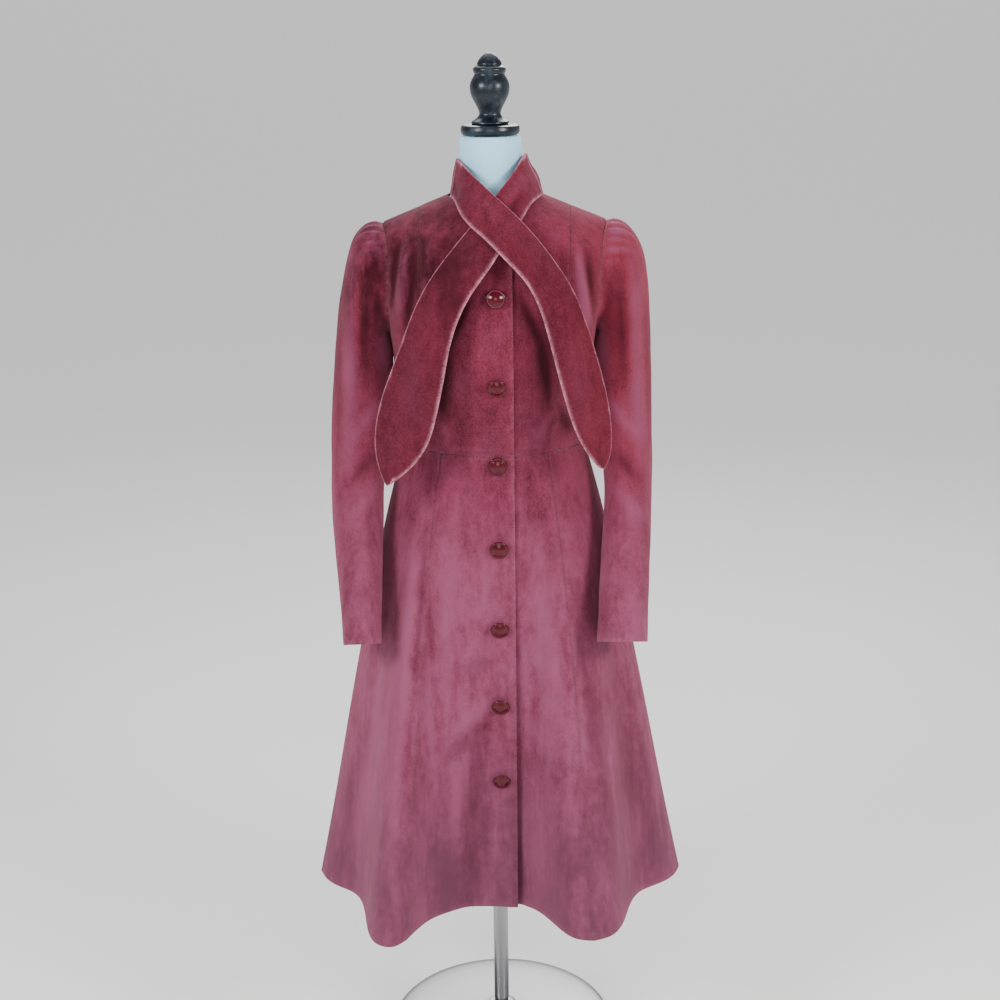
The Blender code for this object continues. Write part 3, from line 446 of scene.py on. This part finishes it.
BODY_FOLDS = [
    Fold(-0.118, 1.365, -0.140, 1.240, 0.008, 0.0034),
    Fold(-0.132, 1.360, -0.150, 1.250, 0.006, -0.0030),
    Fold(-0.100, 1.350, -0.128, 1.215, 0.007, -0.0030),
    Fold(-0.085, 1.370, -0.110, 1.230, 0.008, 0.0030),
    Fold(0.118, 1.350, 0.140, 1.215, 0.010, 0.0036),
    Fold(0.135, 1.345, 0.150, 1.230, 0.007, -0.0030),
    Fold(0.098, 1.350, 0.118, 1.260, 0.008, -0.0026),
    # Six hollows beside the ties' inner edges, which carry the painted shadow of the ties
    Fold(-0.030, 1.290, -0.068, 1.205, 0.008, -0.0030),
    Fold(-0.064, 1.230, -0.080, 1.090, 0.010, -0.0036),
    Fold(-0.080, 1.125, -0.108, 1.056, 0.010, -0.0032),
    Fold(0.036, 1.290, 0.068, 1.215, 0.008, -0.0030),
    Fold(0.066, 1.240, 0.088, 1.095, 0.010, -0.0036),
    Fold(0.086, 1.125, 0.118, 1.060, 0.010, -0.0032),
    Fold(-0.070, 1.051, -0.005, 1.052, 0.004, 0.0012),
    Fold(0.030, 1.051, 0.080, 1.052, 0.004, 0.0012),
    Fold(-0.100, 1.110, -0.060, 1.060, 0.012, 0.0016),
    Fold(0.100, 1.110, 0.060, 1.060, 0.012, 0.0016),
    Fold(-0.150, 1.330, -0.080, 1.230, 0.020, 0.0026, True),
    Fold(0.150, 1.330, 0.080, 1.230, 0.020, 0.0026, True),
    Fold(-0.120, 1.250, -0.040, 1.060, 0.022, 0.0018, True),
    Fold(0.120, 1.250, 0.040, 1.060, 0.022, 0.0018, True),
]
SKIRT_FOLDS = [
    Fold(-0.004, 0.735, -0.050, 0.700, 0.013, -0.0026),
    Fold(-0.004, 0.760, -0.060, 0.732, 0.013, 0.0024),
    Fold(-0.010, 0.632, -0.075, 0.560, 0.014, -0.0038),
    Fold(-0.006, 0.662, -0.070, 0.600, 0.014, 0.0034),
    Fold(-0.030, 0.600, -0.046, 0.450, 0.012, -0.0038),
    Fold(-0.052, 0.590, -0.078, 0.420, 0.013, 0.0036),
    Fold(-0.105, 0.920, -0.118, 0.700, 0.009, -0.0040),
    Fold(-0.122, 0.920, -0.170, 0.400, 0.011, 0.0046),
    # A hollow beside the lap edge, which carries the painted shadow of that edge
    Fold(0.031, 0.800, 0.031, 0.120, 0.008, -0.0034),
    Fold(0.045, 0.760, 0.080, 0.700, 0.012, 0.0022),
    Fold(0.040, 0.640, 0.090, 0.560, 0.012, 0.0020),
    Fold(-0.060, 0.960, -0.085, 0.640, 0.016, 0.0030),
    Fold(-0.095, 0.880, -0.150, 0.480, 0.012, -0.0030),
    Fold(0.060, 0.930, 0.100, 0.600, 0.016, 0.0028),
    Fold(0.110, 0.880, 0.170, 0.450, 0.012, -0.0026),
    Fold(-0.024, 0.540, -0.056, 0.250, 0.022, -0.0022),
    Fold(0.064, 0.540, 0.058, 0.250, 0.020, 0.0022),
    Fold(-0.160, 0.760, -0.230, 0.340, 0.016, 0.0036),
    Fold(0.170, 0.760, 0.240, 0.300, 0.022, -0.0024),
    Fold(-0.060, 0.960, -0.090, 0.360, 0.020, 0.0034, True),
    Fold(0.060, 0.960, 0.090, 0.360, 0.020, 0.0034, True),
    Fold(-0.150, 0.860, -0.220, 0.340, 0.020, 0.0034, True),
    Fold(0.150, 0.860, 0.220, 0.340, 0.020, 0.0034, True),
]
GATHERS = [
    Gather(-58, 0.0016, 6, 0.030),
    Gather(-41, 0.0030, 5, 0.034),
    Gather(-27, 0.0022, 4, 0.028),
    Gather(-12, 0.0034, 5, 0.036),
    Gather(3, 0.0022, 4, 0.024),
    Gather(17, 0.0036, 5, 0.038),
    Gather(31, 0.0046, 5, 0.046),
    Gather(43, 0.0032, 4, 0.034),
    Gather(57, 0.0034, 6, 0.040),
    Gather(74, 0.0016, 7, 0.030),
]


@dataclass(frozen=True)
class Cut:
    """A piece as it was cut: its greatest width and length, and its area."""

    width: float
    length: float
    area: float


@dataclass
class ClothPiece:
    """A piece of the coat, made from the outer skin of its solid."""

    node: str
    finish: bpy.types.Material
    slot: str
    skin: Skin
    cut: Cut
    held: str
    rests_on: list[str]
    wall: float = 0.0020
    soft_edge: float = 0.0003
    levels: int = 3
    folds: list[Fold] = field(default_factory=list)
    gathers: list[Gather] = field(default_factory=list)
    seam_depth: float = 0.0005
    edge_reach: float = 0.0045
    seam_highlight: float = 0.5
    seam_shade: float = 0.15
    undulation: float = 0.0007
    fold_shade: float = 0.95

    def _outer_skin(self) -> bmesh.types.BMesh:
        """The solid's outer skin, as quads."""
        shape = bmesh.new()
        shape.from_mesh(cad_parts[self.node].data)
        bmesh.ops.remove_doubles(shape, verts=shape.verts[:], dist=WELD_DISTANCE)
        shape.normal_update()
        tree = BVHTree.FromBMesh(shape)
        rims = []
        for face in shape.faces:
            start = face.calc_center_median() - face.normal * 1e-5
            depth = tree.ray_cast(start, -face.normal)[3]
            if depth is None or depth > RIM_DEPTH_IN_WALLS * self.wall:
                rims.append(face)
        bmesh.ops.delete(shape, geom=rims, context="FACES")
        skins = self._islands(shape)
        outer = max(skins, key=self._outwardness)
        others = [face for skin in skins if skin is not outer for face in skin]
        bmesh.ops.delete(shape, geom=others, context="FACES")
        bmesh.ops.join_triangles(
            shape, faces=shape.faces[:], angle_face_threshold=math.pi, angle_shape_threshold=math.pi
        )
        return shape

    @staticmethod
    def _islands(shape: bmesh.types.BMesh) -> list[list[bmesh.types.BMFace]]:
        """The groups of faces that share edges, parted where the solid turns over its rim."""
        left = set(shape.faces)
        found = []
        while left:
            group, waiting = [], [left.pop()]
            while waiting:
                face = waiting.pop()
                group.append(face)
                soft = [edge for edge in face.edges if edge.calc_face_angle(math.pi) < RIM_TURN]
                for other in {near for edge in soft for near in edge.link_faces} & left:
                    left.discard(other)
                    waiting.append(other)
            found.append(group)
        return found

    def _outwardness(self, faces: list[bmesh.types.BMFace]) -> float:
        """How much a skin's faces look away from what the piece lies round."""
        centres = np.array([face.calc_center_median() for face in faces])
        faced = np.array([face.normal * face.calc_area() for face in faces])
        if self.skin is Skin.BODY:
            away = centres * [1, 1, 0]
        elif self.skin is Skin.CHEST:
            away = np.tile([0.0, -1.0, 0.0], (len(faces), 1))
        else:
            away = centres - centres.mean(axis=0)
            away[:, 2] = 0
            away[:, 1] = 0
        return float((faced * away).sum())

    def _smooth(self, shape: bmesh.types.BMesh) -> bpy.types.Mesh:
        """The skin as a mesh, subdivided smoothly."""
        rough = bpy.data.meshes.new(self.node)
        shape.to_mesh(rough)
        shape.free()
        thing = bpy.data.objects.new(self.node, rough)
        bpy.context.scene.collection.objects.link(thing)
        smoothing = thing.modifiers.new("smoothing", "SUBSURF")
        smoothing.levels = smoothing.render_levels = self.levels
        smoothing.boundary_smooth = "PRESERVE_CORNERS"
        graph = bpy.context.evaluated_depsgraph_get()
        mesh = bpy.data.meshes.new_from_object(thing.evaluated_get(graph))
        bpy.data.objects.remove(thing)
        return mesh

    @staticmethod
    def _edges_of(mesh: bpy.types.Mesh, points: np.ndarray) -> np.ndarray:
        """The ends of each of the skin's free edges."""
        count = np.zeros(len(mesh.edges), int)
        loops = np.empty(len(mesh.loops), np.int32)
        mesh.loops.foreach_get("edge_index", loops)
        np.add.at(count, loops, 1)
        ends = np.empty(len(mesh.edges) * 2, np.int32)
        mesh.edges.foreach_get("vertices", ends)
        return points[ends.reshape(-1, 2)[count == 1]]

    @staticmethod
    def _distance(points: np.ndarray, edges: np.ndarray) -> np.ndarray:
        """Each point's distance to the nearest of the edges.

        Args:
            points: The points, one a row.
            edges: The edges' two ends.

        Returns:
            A distance for each point.
        """
        nearest = np.full(len(points), 1.0)
        for start, end in edges:
            run = end - start
            share = np.clip((points - start) @ run / max(run @ run, 1e-12), 0, 1)
            away = points - start - share[:, None] * run
            nearest = np.minimum(nearest, (away * away).sum(axis=1))
        return np.sqrt(nearest)

    @staticmethod
    def _waves(points: np.ndarray) -> np.ndarray:
        """Slow waves from -1 to 1 over the cloth."""
        x, y, z = points.T
        first = np.sin(x * 61 + 1.3) * np.sin(z * 37 + x * 20 + 0.4)
        second = np.sin(x * 97 - z * 23 + 2.1) * np.sin(z * 71 + y * 40)
        return 0.6 * first + 0.4 * second

    def _gathered(self, points: np.ndarray, from_head: np.ndarray) -> np.ndarray:
        """How far the head's pleats lift each point."""
        turn = np.degrees(np.arctan2(-points[:, 1], points[:, 2] - ARMHOLE_CENTRE_Z))
        lift = np.zeros(len(points))
        for pleat in self.gathers:
            across = np.exp(-(((turn - pleat.turn) / pleat.spread) ** 2))
            rise = 1 - np.exp(-((from_head / PLEAT_RISE_REACH) ** 2))
            lift += pleat.depth * across * rise * np.exp(-((from_head / pleat.reach) ** 2))
        return lift

    @staticmethod
    def _outer_half(points: np.ndarray) -> np.ndarray:
        """Which points of a tie lie on the side of its middle line that is away from the closure."""
        order = np.argsort(points[:, 2])
        bands = np.array_split(order, TIE_BANDS)
        heights = [points[band, 2].mean() for band in bands]
        middles = [(points[band, 0].min() + points[band, 0].max()) / 2 for band in bands]
        middle = np.interp(points[:, 2], heights, middles)
        side = np.sign(points[order[: len(order) // 2], 0].mean())
        return (points[:, 0] - middle) * side > 0

    def _shape(self, mesh: bpy.types.Mesh) -> None:
        """Moves the skin into its folds, and writes each point's edge, hollow and ridge measures, from which
        the velvet paints highlights and shade.
        """
        points = np.empty(len(mesh.vertices) * 3)
        normals = np.empty(len(mesh.vertices) * 3)
        mesh.vertices.foreach_get("co", points)
        mesh.vertices.foreach_get("normal", normals)
        points, normals = points.reshape(-1, 3), normals.reshape(-1, 3)
        edges = self._edges_of(mesh, points)
        middles = edges.mean(axis=1)
        hem = middles[:, 2] < HEM + EDGE_NEARNESS
        closure = (np.abs(middles[:, 0]) < LAP_EDGE + EDGE_NEARNESS) & (middles[:, 1] < 0)
        sewn = edges[~(hem | closure)] if self.skin is Skin.BODY else edges
        to_free = self._distance(points, edges[hem | closure] if self.skin is Skin.BODY else edges)
        to_seam = self._distance(points, sewn)
        lift = self.undulation * self._waves(points)
        for fold in self.folds:
            lift += fold.at(points)
        if self.gathers:
            head = edges[middles[:, 2] > 1.0]
            from_head = self._distance(points, head)
            lift += self._gathered(points, from_head)
            to_seam = from_head
        pinch = np.exp(-((to_seam / SEAM_PINCH_REACH) ** 2)) if self.seam_depth else 0 * to_seam
        near = 1 - np.exp(-((to_seam / SEAM_CALM_REACH) ** 2))
        level = 1 - np.exp(-(((points[:, 2] - WAIST) / WAIST_SEAM_REACH) ** 2))
        lift = lift * near - self.seam_depth * pinch * level
        points = points + normals * lift[:, None]
        mesh.vertices.foreach_set("co", points.ravel())
        if self.skin is Skin.CHEST:
            to_free = np.where(self._outer_half(points), to_free * OUTER_EDGE_FADE, to_free)
        # edge feeds the painted highlight along free edges and seams, hollow the painted shade in hollows and
        # seams, ridge the painted highlight on ridges
        measures = {
            "edge": np.exp(-((to_free / self.edge_reach) ** 2)) + self.seam_highlight * pinch,
            "hollow": np.clip(-lift / HOLLOW_DEPTH, 0, 1) * self.fold_shade + pinch * self.seam_shade,
            "ridge": np.clip(lift / HOLLOW_DEPTH, 0, 1),
        }
        for name, values in measures.items():
            layer = mesh.attributes.new(name, "FLOAT", "POINT")
            layer.data.foreach_set("value", values.astype(np.float32))
        mesh.update()

    def build(self) -> bpy.types.Object:
        """The dressed piece, in place of its solid."""
        mesh = self._smooth(self._outer_skin())
        self._shape(mesh)
        mesh.shade_smooth()
        mesh.materials.clear()
        mesh.materials.append(self.finish)
        piece = bpy.data.objects.new(f"velvet_{self.node}", mesh)
        bpy.context.scene.collection.objects.link(piece)
        thickness = piece.modifiers.new("thickness", "SOLIDIFY")
        thickness.thickness = self.wall
        thickness.offset = -1
        rounding = piece.modifiers.new("soft_edges", "BEVEL")
        rounding.width = self.soft_edge
        rounding.segments = 3
        rounding.limit_method = "ANGLE"
        rounding.angle_limit = math.radians(60)
        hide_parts(self.node)
        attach(piece, BODY)
        LOG.info("%s: %d points", piece.name, len(mesh.vertices))
        return piece


@dataclass
class Coat:
    """The coat's cloth: bodice, skirt, sleeves and collar."""

    velvet: bpy.types.Material
    collar_velvet: bpy.types.Material

    def _panel(self, node: str, held: str, rests_on: list[str], folds: list[Fold], shade_share: float) -> None:
        """Builds one panel of the bodice or the skirt."""
        piece = ClothPiece(node, self.velvet, "velvet", Skin.BODY, cut_of(node), held, rests_on, folds=folds)
        piece.fold_shade = shade_share
        piece.build()

    def build(self) -> None:
        """Builds every piece of cloth."""
        for side in ("left", "right"):
            for part in ("front", "side_front", "side_back", "back"):
                self._panel(f"bodice_{part}_{side}", "stretched", ["form_torso"], BODY_FOLDS, BODICE_FOLD_SHADE)
                held_by = [f"velvet_bodice_{part}_{side}"]
                self._panel(f"skirt_{part}_{side}", "hung", held_by, SKIRT_FOLDS, SKIRT_FOLD_SHADE)
            self._sleeve(side)
        self._collar()

    def _sleeve(self, side: str) -> None:
        """Builds one sleeve, with its gathered head and its long soft folds."""
        sign = 1 if side == "left" else -1
        folds = [
            Fold(sign * 0.205, 1.340, sign * 0.222, 0.960, 0.013, 0.0026),
            Fold(sign * 0.185, 1.330, sign * 0.190, 1.120, 0.010, -0.0024),
            Fold(sign * 0.225, 1.290, sign * 0.236, 1.020, 0.009, -0.0018),
            Fold(sign * 0.168, 1.120, sign * 0.215, 1.050, 0.011, 0.0022),
            Fold(sign * 0.172, 1.040, sign * 0.225, 0.985, 0.010, -0.0022),
            Fold(sign * 0.176, 0.990, sign * 0.225, 0.930, 0.011, 0.0022),
            Fold(sign * 0.205, 0.960, sign * 0.200, 0.780, 0.013, 0.0016),
            Fold(sign * 0.200, 1.300, sign * 0.225, 1.000, 0.014, 0.0024, True),
            Fold(sign * 0.180, 1.060, sign * 0.235, 1.010, 0.011, -0.0024, True),
            Fold(sign * 0.175, 1.000, sign * 0.230, 0.960, 0.012, 0.0022, True),
            Fold(sign * 0.1575, 1.225, sign * 0.1525, 1.080, 0.012, 0.0040),
            Fold(sign * 0.1575, 1.225, sign * 0.1525, 1.080, 0.012, 0.0040, True),
            Fold(sign * 0.158, 1.216, sign * 0.157, 1.164, 0.010, 0.0040),
            Fold(sign * 0.158, 1.216, sign * 0.157, 1.164, 0.010, 0.0040, True),
        ]
        node = f"sleeve_{side}"
        rests_on = [f"velvet_bodice_side_front_{side}", f"velvet_bodice_side_back_{side}"]
        cut = cut_of(node)
        piece = ClothPiece(node, self.velvet, "velvet", Skin.ARM, cut, "gathered", rests_on, folds=folds)
        piece.gathers = GATHERS
        piece.fold_shade = SLEEVE_FOLD_SHADE
        piece.build()

    def _collar(self) -> None:
        """Builds the collar's stand and its two ties, which are double and soft-edged."""
        stand_folds = [
            Fold(-0.052, 1.450, -0.030, 1.405, 0.008, 0.0018),
            Fold(0.060, 1.452, 0.064, 1.420, 0.008, 0.0022),
        ]
        tie_folds = [
            Fold(-0.040, 1.425, 0.010, 1.390, 0.008, 0.0018),
            Fold(-0.020, 1.420, 0.000, 1.380, 0.006, -0.0016),
            Fold(0.050, 1.440, 0.020, 1.410, 0.008, 0.0020),
            Fold(-0.062, 1.445, -0.044, 1.396, 0.006, -0.0020),
            Fold(-0.034, 1.436, -0.052, 1.392, 0.006, 0.0018),
            Fold(0.045, 1.420, 0.020, 1.385, 0.007, -0.0018),
            Fold(0.110, 1.250, 0.130, 1.080, 0.016, 0.0018),
            Fold(-0.100, 1.250, -0.130, 1.080, 0.016, 0.0018),
        ]
        double = {"wall": 0.0040, "soft_edge": 0.0018, "seam_depth": 0.0, "edge_reach": 0.0032}
        fronts = ["velvet_bodice_front_left", "velvet_bodice_front_right"]
        for node, skin, rests_on, folds in (
            ("collar_stand", Skin.BODY, ["form_torso"], stand_folds),
            ("tie_left", Skin.CHEST, fronts, tie_folds),
            ("tie_right", Skin.CHEST, ["velvet_tie_left"], tie_folds),
        ):
            look = {"finish": self.collar_velvet, "slot": "velvet_collar"}
            hang = {"held": "folded", "rests_on": rests_on, "folds": folds}
            ClothPiece(node, skin=skin, cut=cut_of(node), **look, **hang, **double).build()


# Hard pieces


@dataclass
class TurnedPiece:
    """A piece of the form or its stand, which keeps its solid's shape and is made smooth."""

    node: str
    finish: bpy.types.Material
    slot: str
    levels: int = 2
    sharp_over: float = 40.0
    crease: float = 0.75

    def build(self) -> bpy.types.Object:
        """The smooth piece, in place of its solid."""
        shape = bmesh.new()
        shape.from_mesh(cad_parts[self.node].data)
        bmesh.ops.remove_doubles(shape, verts=shape.verts[:], dist=WELD_DISTANCE)
        bmesh.ops.join_triangles(
            shape, faces=shape.faces[:], angle_face_threshold=math.radians(25), angle_shape_threshold=math.pi
        )
        creases = shape.edges.layers.float.new("crease_edge")
        for edge in shape.edges:
            if edge.calc_face_angle(0.0) > math.radians(self.sharp_over):
                edge[creases] = self.crease
        mesh = bpy.data.meshes.new(self.node)
        shape.to_mesh(mesh)
        shape.free()
        mesh.shade_smooth()
        mesh.materials.clear()
        mesh.materials.append(self.finish)
        piece = bpy.data.objects.new(f"smooth_{self.node}", mesh)
        bpy.context.scene.collection.objects.link(piece)
        smoothing = piece.modifiers.new("smoothing", "SUBSURF")
        smoothing.levels = smoothing.render_levels = self.levels
        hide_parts(self.node)
        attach(piece, BODY)
        LOG.info("%s", piece.name)
        return piece


@dataclass
class DressForm:
    """The form, its cap, its finial and its stand."""

    jersey: bpy.types.Material
    lacquer: bpy.types.Material
    steel: bpy.types.Material

    def build(self) -> None:
        """Builds the form's pieces."""
        TurnedPiece("form_torso", self.jersey, "jersey").build()
        TurnedPiece("form_neck_cap", self.lacquer, "black_lacquer").build()
        TurnedPiece("form_finial", self.lacquer, "black_lacquer", crease=0.3).build()
        TurnedPiece("form_pole", self.steel, "satin_steel", crease=0.95).build()
        TurnedPiece("form_base", self.steel, "satin_steel", crease=0.9).build()


@dataclass
class Buttons:
    """The seven domed buttons, each turned anew on its solid's own axis."""

    finish: bpy.types.Material
    count: int = 7
    steps: int = 48
    profile: tuple[tuple[float, float], ...] = (
        (0.00, 0.25),
        (0.28, 0.25),
        (0.30, 0.86),
        (0.34, 0.97),
        (0.42, 1.00),
        (0.52, 0.985),
        (0.595, 0.94),
        (0.625, 0.89),
        (0.615, 0.845),
        (0.600, 0.80),
        (0.640, 0.75),
        (0.740, 0.64),
        (0.840, 0.50),
        (0.930, 0.33),
        (0.985, 0.16),
        (1.000, 0.00),
    )

    def build(self) -> None:
        """Builds every button."""
        for number in range(1, self.count + 1):
            self._button(number)

    def _axis(self, points: np.ndarray) -> np.ndarray:
        """A button's axis, pointing away from the coat."""
        spread, directions = np.linalg.eigh(np.cov((points - points.mean(axis=0)).T))
        alone = 0 if spread[1] - spread[0] > spread[2] - spread[1] else 2
        axis = directions[:, alone]
        return -axis if axis[1] > 0 else axis

    def _button(self, number: int) -> None:
        """Builds one button."""
        node = f"button_{number}"
        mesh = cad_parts[node].data
        points = np.unique(np.round([vertex.co for vertex in mesh.vertices], 6), axis=0)
        axis = self._axis(points)
        along = points @ axis
        flat = points - along[:, None] * axis
        middle = (flat.min(axis=0) + flat.max(axis=0)) / 2
        middle = middle - (middle @ axis) * axis
        radius = np.linalg.norm(flat - middle, axis=1).max()
        low, high = along.min(), along.max()
        turn = Vector((0, 0, 1)).rotation_difference(Vector(axis)).to_matrix()
        shape = bmesh.new()
        rings = []
        for rise, share in self.profile:
            centre = Vector(middle + axis * (low + (high - low) * rise))
            if share == 0:
                rings.append([shape.verts.new(centre)])
                continue
            angles = [2 * math.pi * step / self.steps for step in range(self.steps)]
            arms = [Vector((math.cos(a), math.sin(a), 0)) * radius * share for a in angles]
            rings.append([shape.verts.new(centre + turn @ arm) for arm in arms])
        for lower, upper in zip(rings, rings[1:]):
            for step in range(self.steps):
                following = (step + 1) % self.steps
                above = [upper[following % len(upper)], upper[step % len(upper)]]
                corners = [lower[step], lower[following], *above]
                shape.faces.new(list(dict.fromkeys(corners)))
        shape.faces.new(rings[0])
        bmesh.ops.recalc_face_normals(shape, faces=shape.faces[:])
        made = bpy.data.meshes.new(node)
        shape.to_mesh(made)
        shape.free()
        made.shade_smooth()
        made.set_sharp_from_angle(angle=math.radians(50))
        made.materials.append(self.finish)
        button = bpy.data.objects.new(f"domed_{node}", made)
        bpy.context.scene.collection.objects.link(button)
        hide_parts(node)
        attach(button, BODY)
        LOG.info("%s", button.name)


# Studio


@dataclass
class Studio:
    """The floor, the soft lights and the camera."""

    floor: bpy.types.Material
    camera_at: tuple[float, float, float] = (0.0075, -2.45, 1.69)
    camera_tilt: float = 73.0
    camera_roll: float = -0.72
    lens: float = 59.4

    def build(self) -> None:
        """Builds the studio."""
        self._floor()
        self._sky()
        self._light("left_window", (-2.0, -1.7, 2.3), 0.8, 62.0, (1.0, 0.98, 0.98))
        self._light("right_window", (2.1, -1.7, 2.2), 0.8, 66.0, (1.0, 0.95, 0.92))
        self._light("front", (0.0, -3.0, 1.9), 1.4, 22.0, (1.0, 1.0, 1.0))
        self._light("back", (0.3, 2.4, 2.6), 1.2, 35.0, (1.0, 1.0, 1.0))
        self._daylight()
        self._camera()

    def _floor(self) -> None:
        """Lays the floor."""
        mesh = bpy.data.meshes.new("floor")
        reach, rise_from, rise = 600.0, 80.0, 3.4
        rows = [(-reach, 0.0), (rise_from, 0.0), (reach, rise)]
        corners = [(side * reach, y, z) for y, z in rows for side in (-1, 1)]
        mesh.from_pydata(corners, [], [(0, 1, 3, 2), (2, 3, 5, 4)])
        mesh.materials.append(self.floor)
        floor = bpy.data.objects.new("floor", mesh)
        bpy.context.scene.collection.objects.link(floor)

    @staticmethod
    def _sky() -> None:
        """Lights the room evenly."""
        world = bpy.data.worlds.new("studio")
        world.use_nodes = True
        background = world.node_tree.nodes["Background"]
        background.inputs["Color"].default_value = (1.0, 1.0, 1.0, 1)
        background.inputs["Strength"].default_value = WORLD_STRENGTH
        bpy.context.scene.world = world

    @staticmethod
    def _light(name: str, at: tuple, size: float, power: float, colour: tuple) -> None:
        """Hangs one soft light that faces the coat.

        Args:
            name: The light's name.
            at: Its place.
            size: Its width and height, in metres.
            power: Its power, in watts.
            colour: Its colour.
        """
        light = bpy.data.lights.new(name, "AREA")
        light.shape = "SQUARE"
        light.size = size
        light.energy = power
        light.color = colour
        lamp = bpy.data.objects.new(name, light)
        lamp.location = at
        lamp.rotation_mode = "QUATERNION"
        lamp.rotation_quaternion = (Vector(LIT_PLACE) - Vector(at)).to_track_quat("-Z", "Y")
        bpy.context.scene.collection.objects.link(lamp)

    @staticmethod
    def _daylight() -> None:
        """Lights the floor from high behind the coat, as far as it reaches."""
        sun = bpy.data.lights.new("daylight", "SUN")
        sun.energy = DAYLIGHT_STRENGTH
        sun.angle = DAYLIGHT_SPREAD
        lamp = bpy.data.objects.new("daylight", sun)
        lamp.rotation_euler = (DAYLIGHT_TILT, 0, 0)
        bpy.context.scene.collection.objects.link(lamp)

    def _camera(self) -> None:
        """Sets the camera where the photograph was taken."""
        data = bpy.data.cameras.new("camera")
        data.lens = self.lens
        data.sensor_width = 36.0
        camera = bpy.data.objects.new("camera", data)
        tilt = Euler((math.radians(self.camera_tilt), 0, 0)).to_matrix().to_4x4()
        roll = Euler((0, 0, math.radians(self.camera_roll))).to_matrix().to_4x4()
        camera.matrix_world = Matrix.Translation(self.camera_at) @ tilt @ roll
        bpy.context.scene.collection.objects.link(camera)
        bpy.context.scene.camera = camera


CUTS = {
    "bodice_front": Cut(0.152, 0.375, 0.0495),
    "bodice_side_front": Cut(0.131, 0.365, 0.0337),
    "bodice_side_back": Cut(0.120, 0.365, 0.0334),
    "bodice_back": Cut(0.127, 0.392, 0.0413),
    "skirt_front": Cut(0.222, 0.756, 0.1155),
    "skirt_side_front": Cut(0.328, 0.763, 0.1500),
    "skirt_side_back": Cut(0.289, 0.765, 0.1395),
    "skirt_back": Cut(0.198, 0.758, 0.1032),
    "sleeve": Cut(0.494, 0.680, 0.1800),
    "collar_stand": Cut(0.245, 0.050, 0.0108),
    "tie_left": Cut(0.088, 0.570, 0.0357),
    "tie_right": Cut(0.082, 0.514, 0.0297),
}


def cut_of(node: str) -> Cut:
    """The cut of a piece, which a pair of pieces shares."""
    return CUTS.get(node) or CUTS[node.rsplit("_", 1)[0]]


def main() -> None:
    """Builds everything."""
    logging.basicConfig(level=logging.INFO, format="%(message)s")
    Studio(FloorFinish("pale_floor").build()).build()
    collar = VelvetFinish(
        "collar_velvet",
        wine=(0.165, 0.0165, 0.0350),
        edge_highlight=0.80,
        low_sheen=0.1,
        even_mauve=0.04,
        low_shade=0.30,
        ridge_highlight=0.2,
    )
    Coat(VelvetFinish("velvet").build(), collar.build()).build()
    Buttons(ResinFinish("resin").build()).build()
    DressForm(
        JerseyFinish("jersey").build(), LacquerFinish("lacquer").build(), SteelFinish("steel").build()
    ).build()


if __name__ == "__main__":
    main()
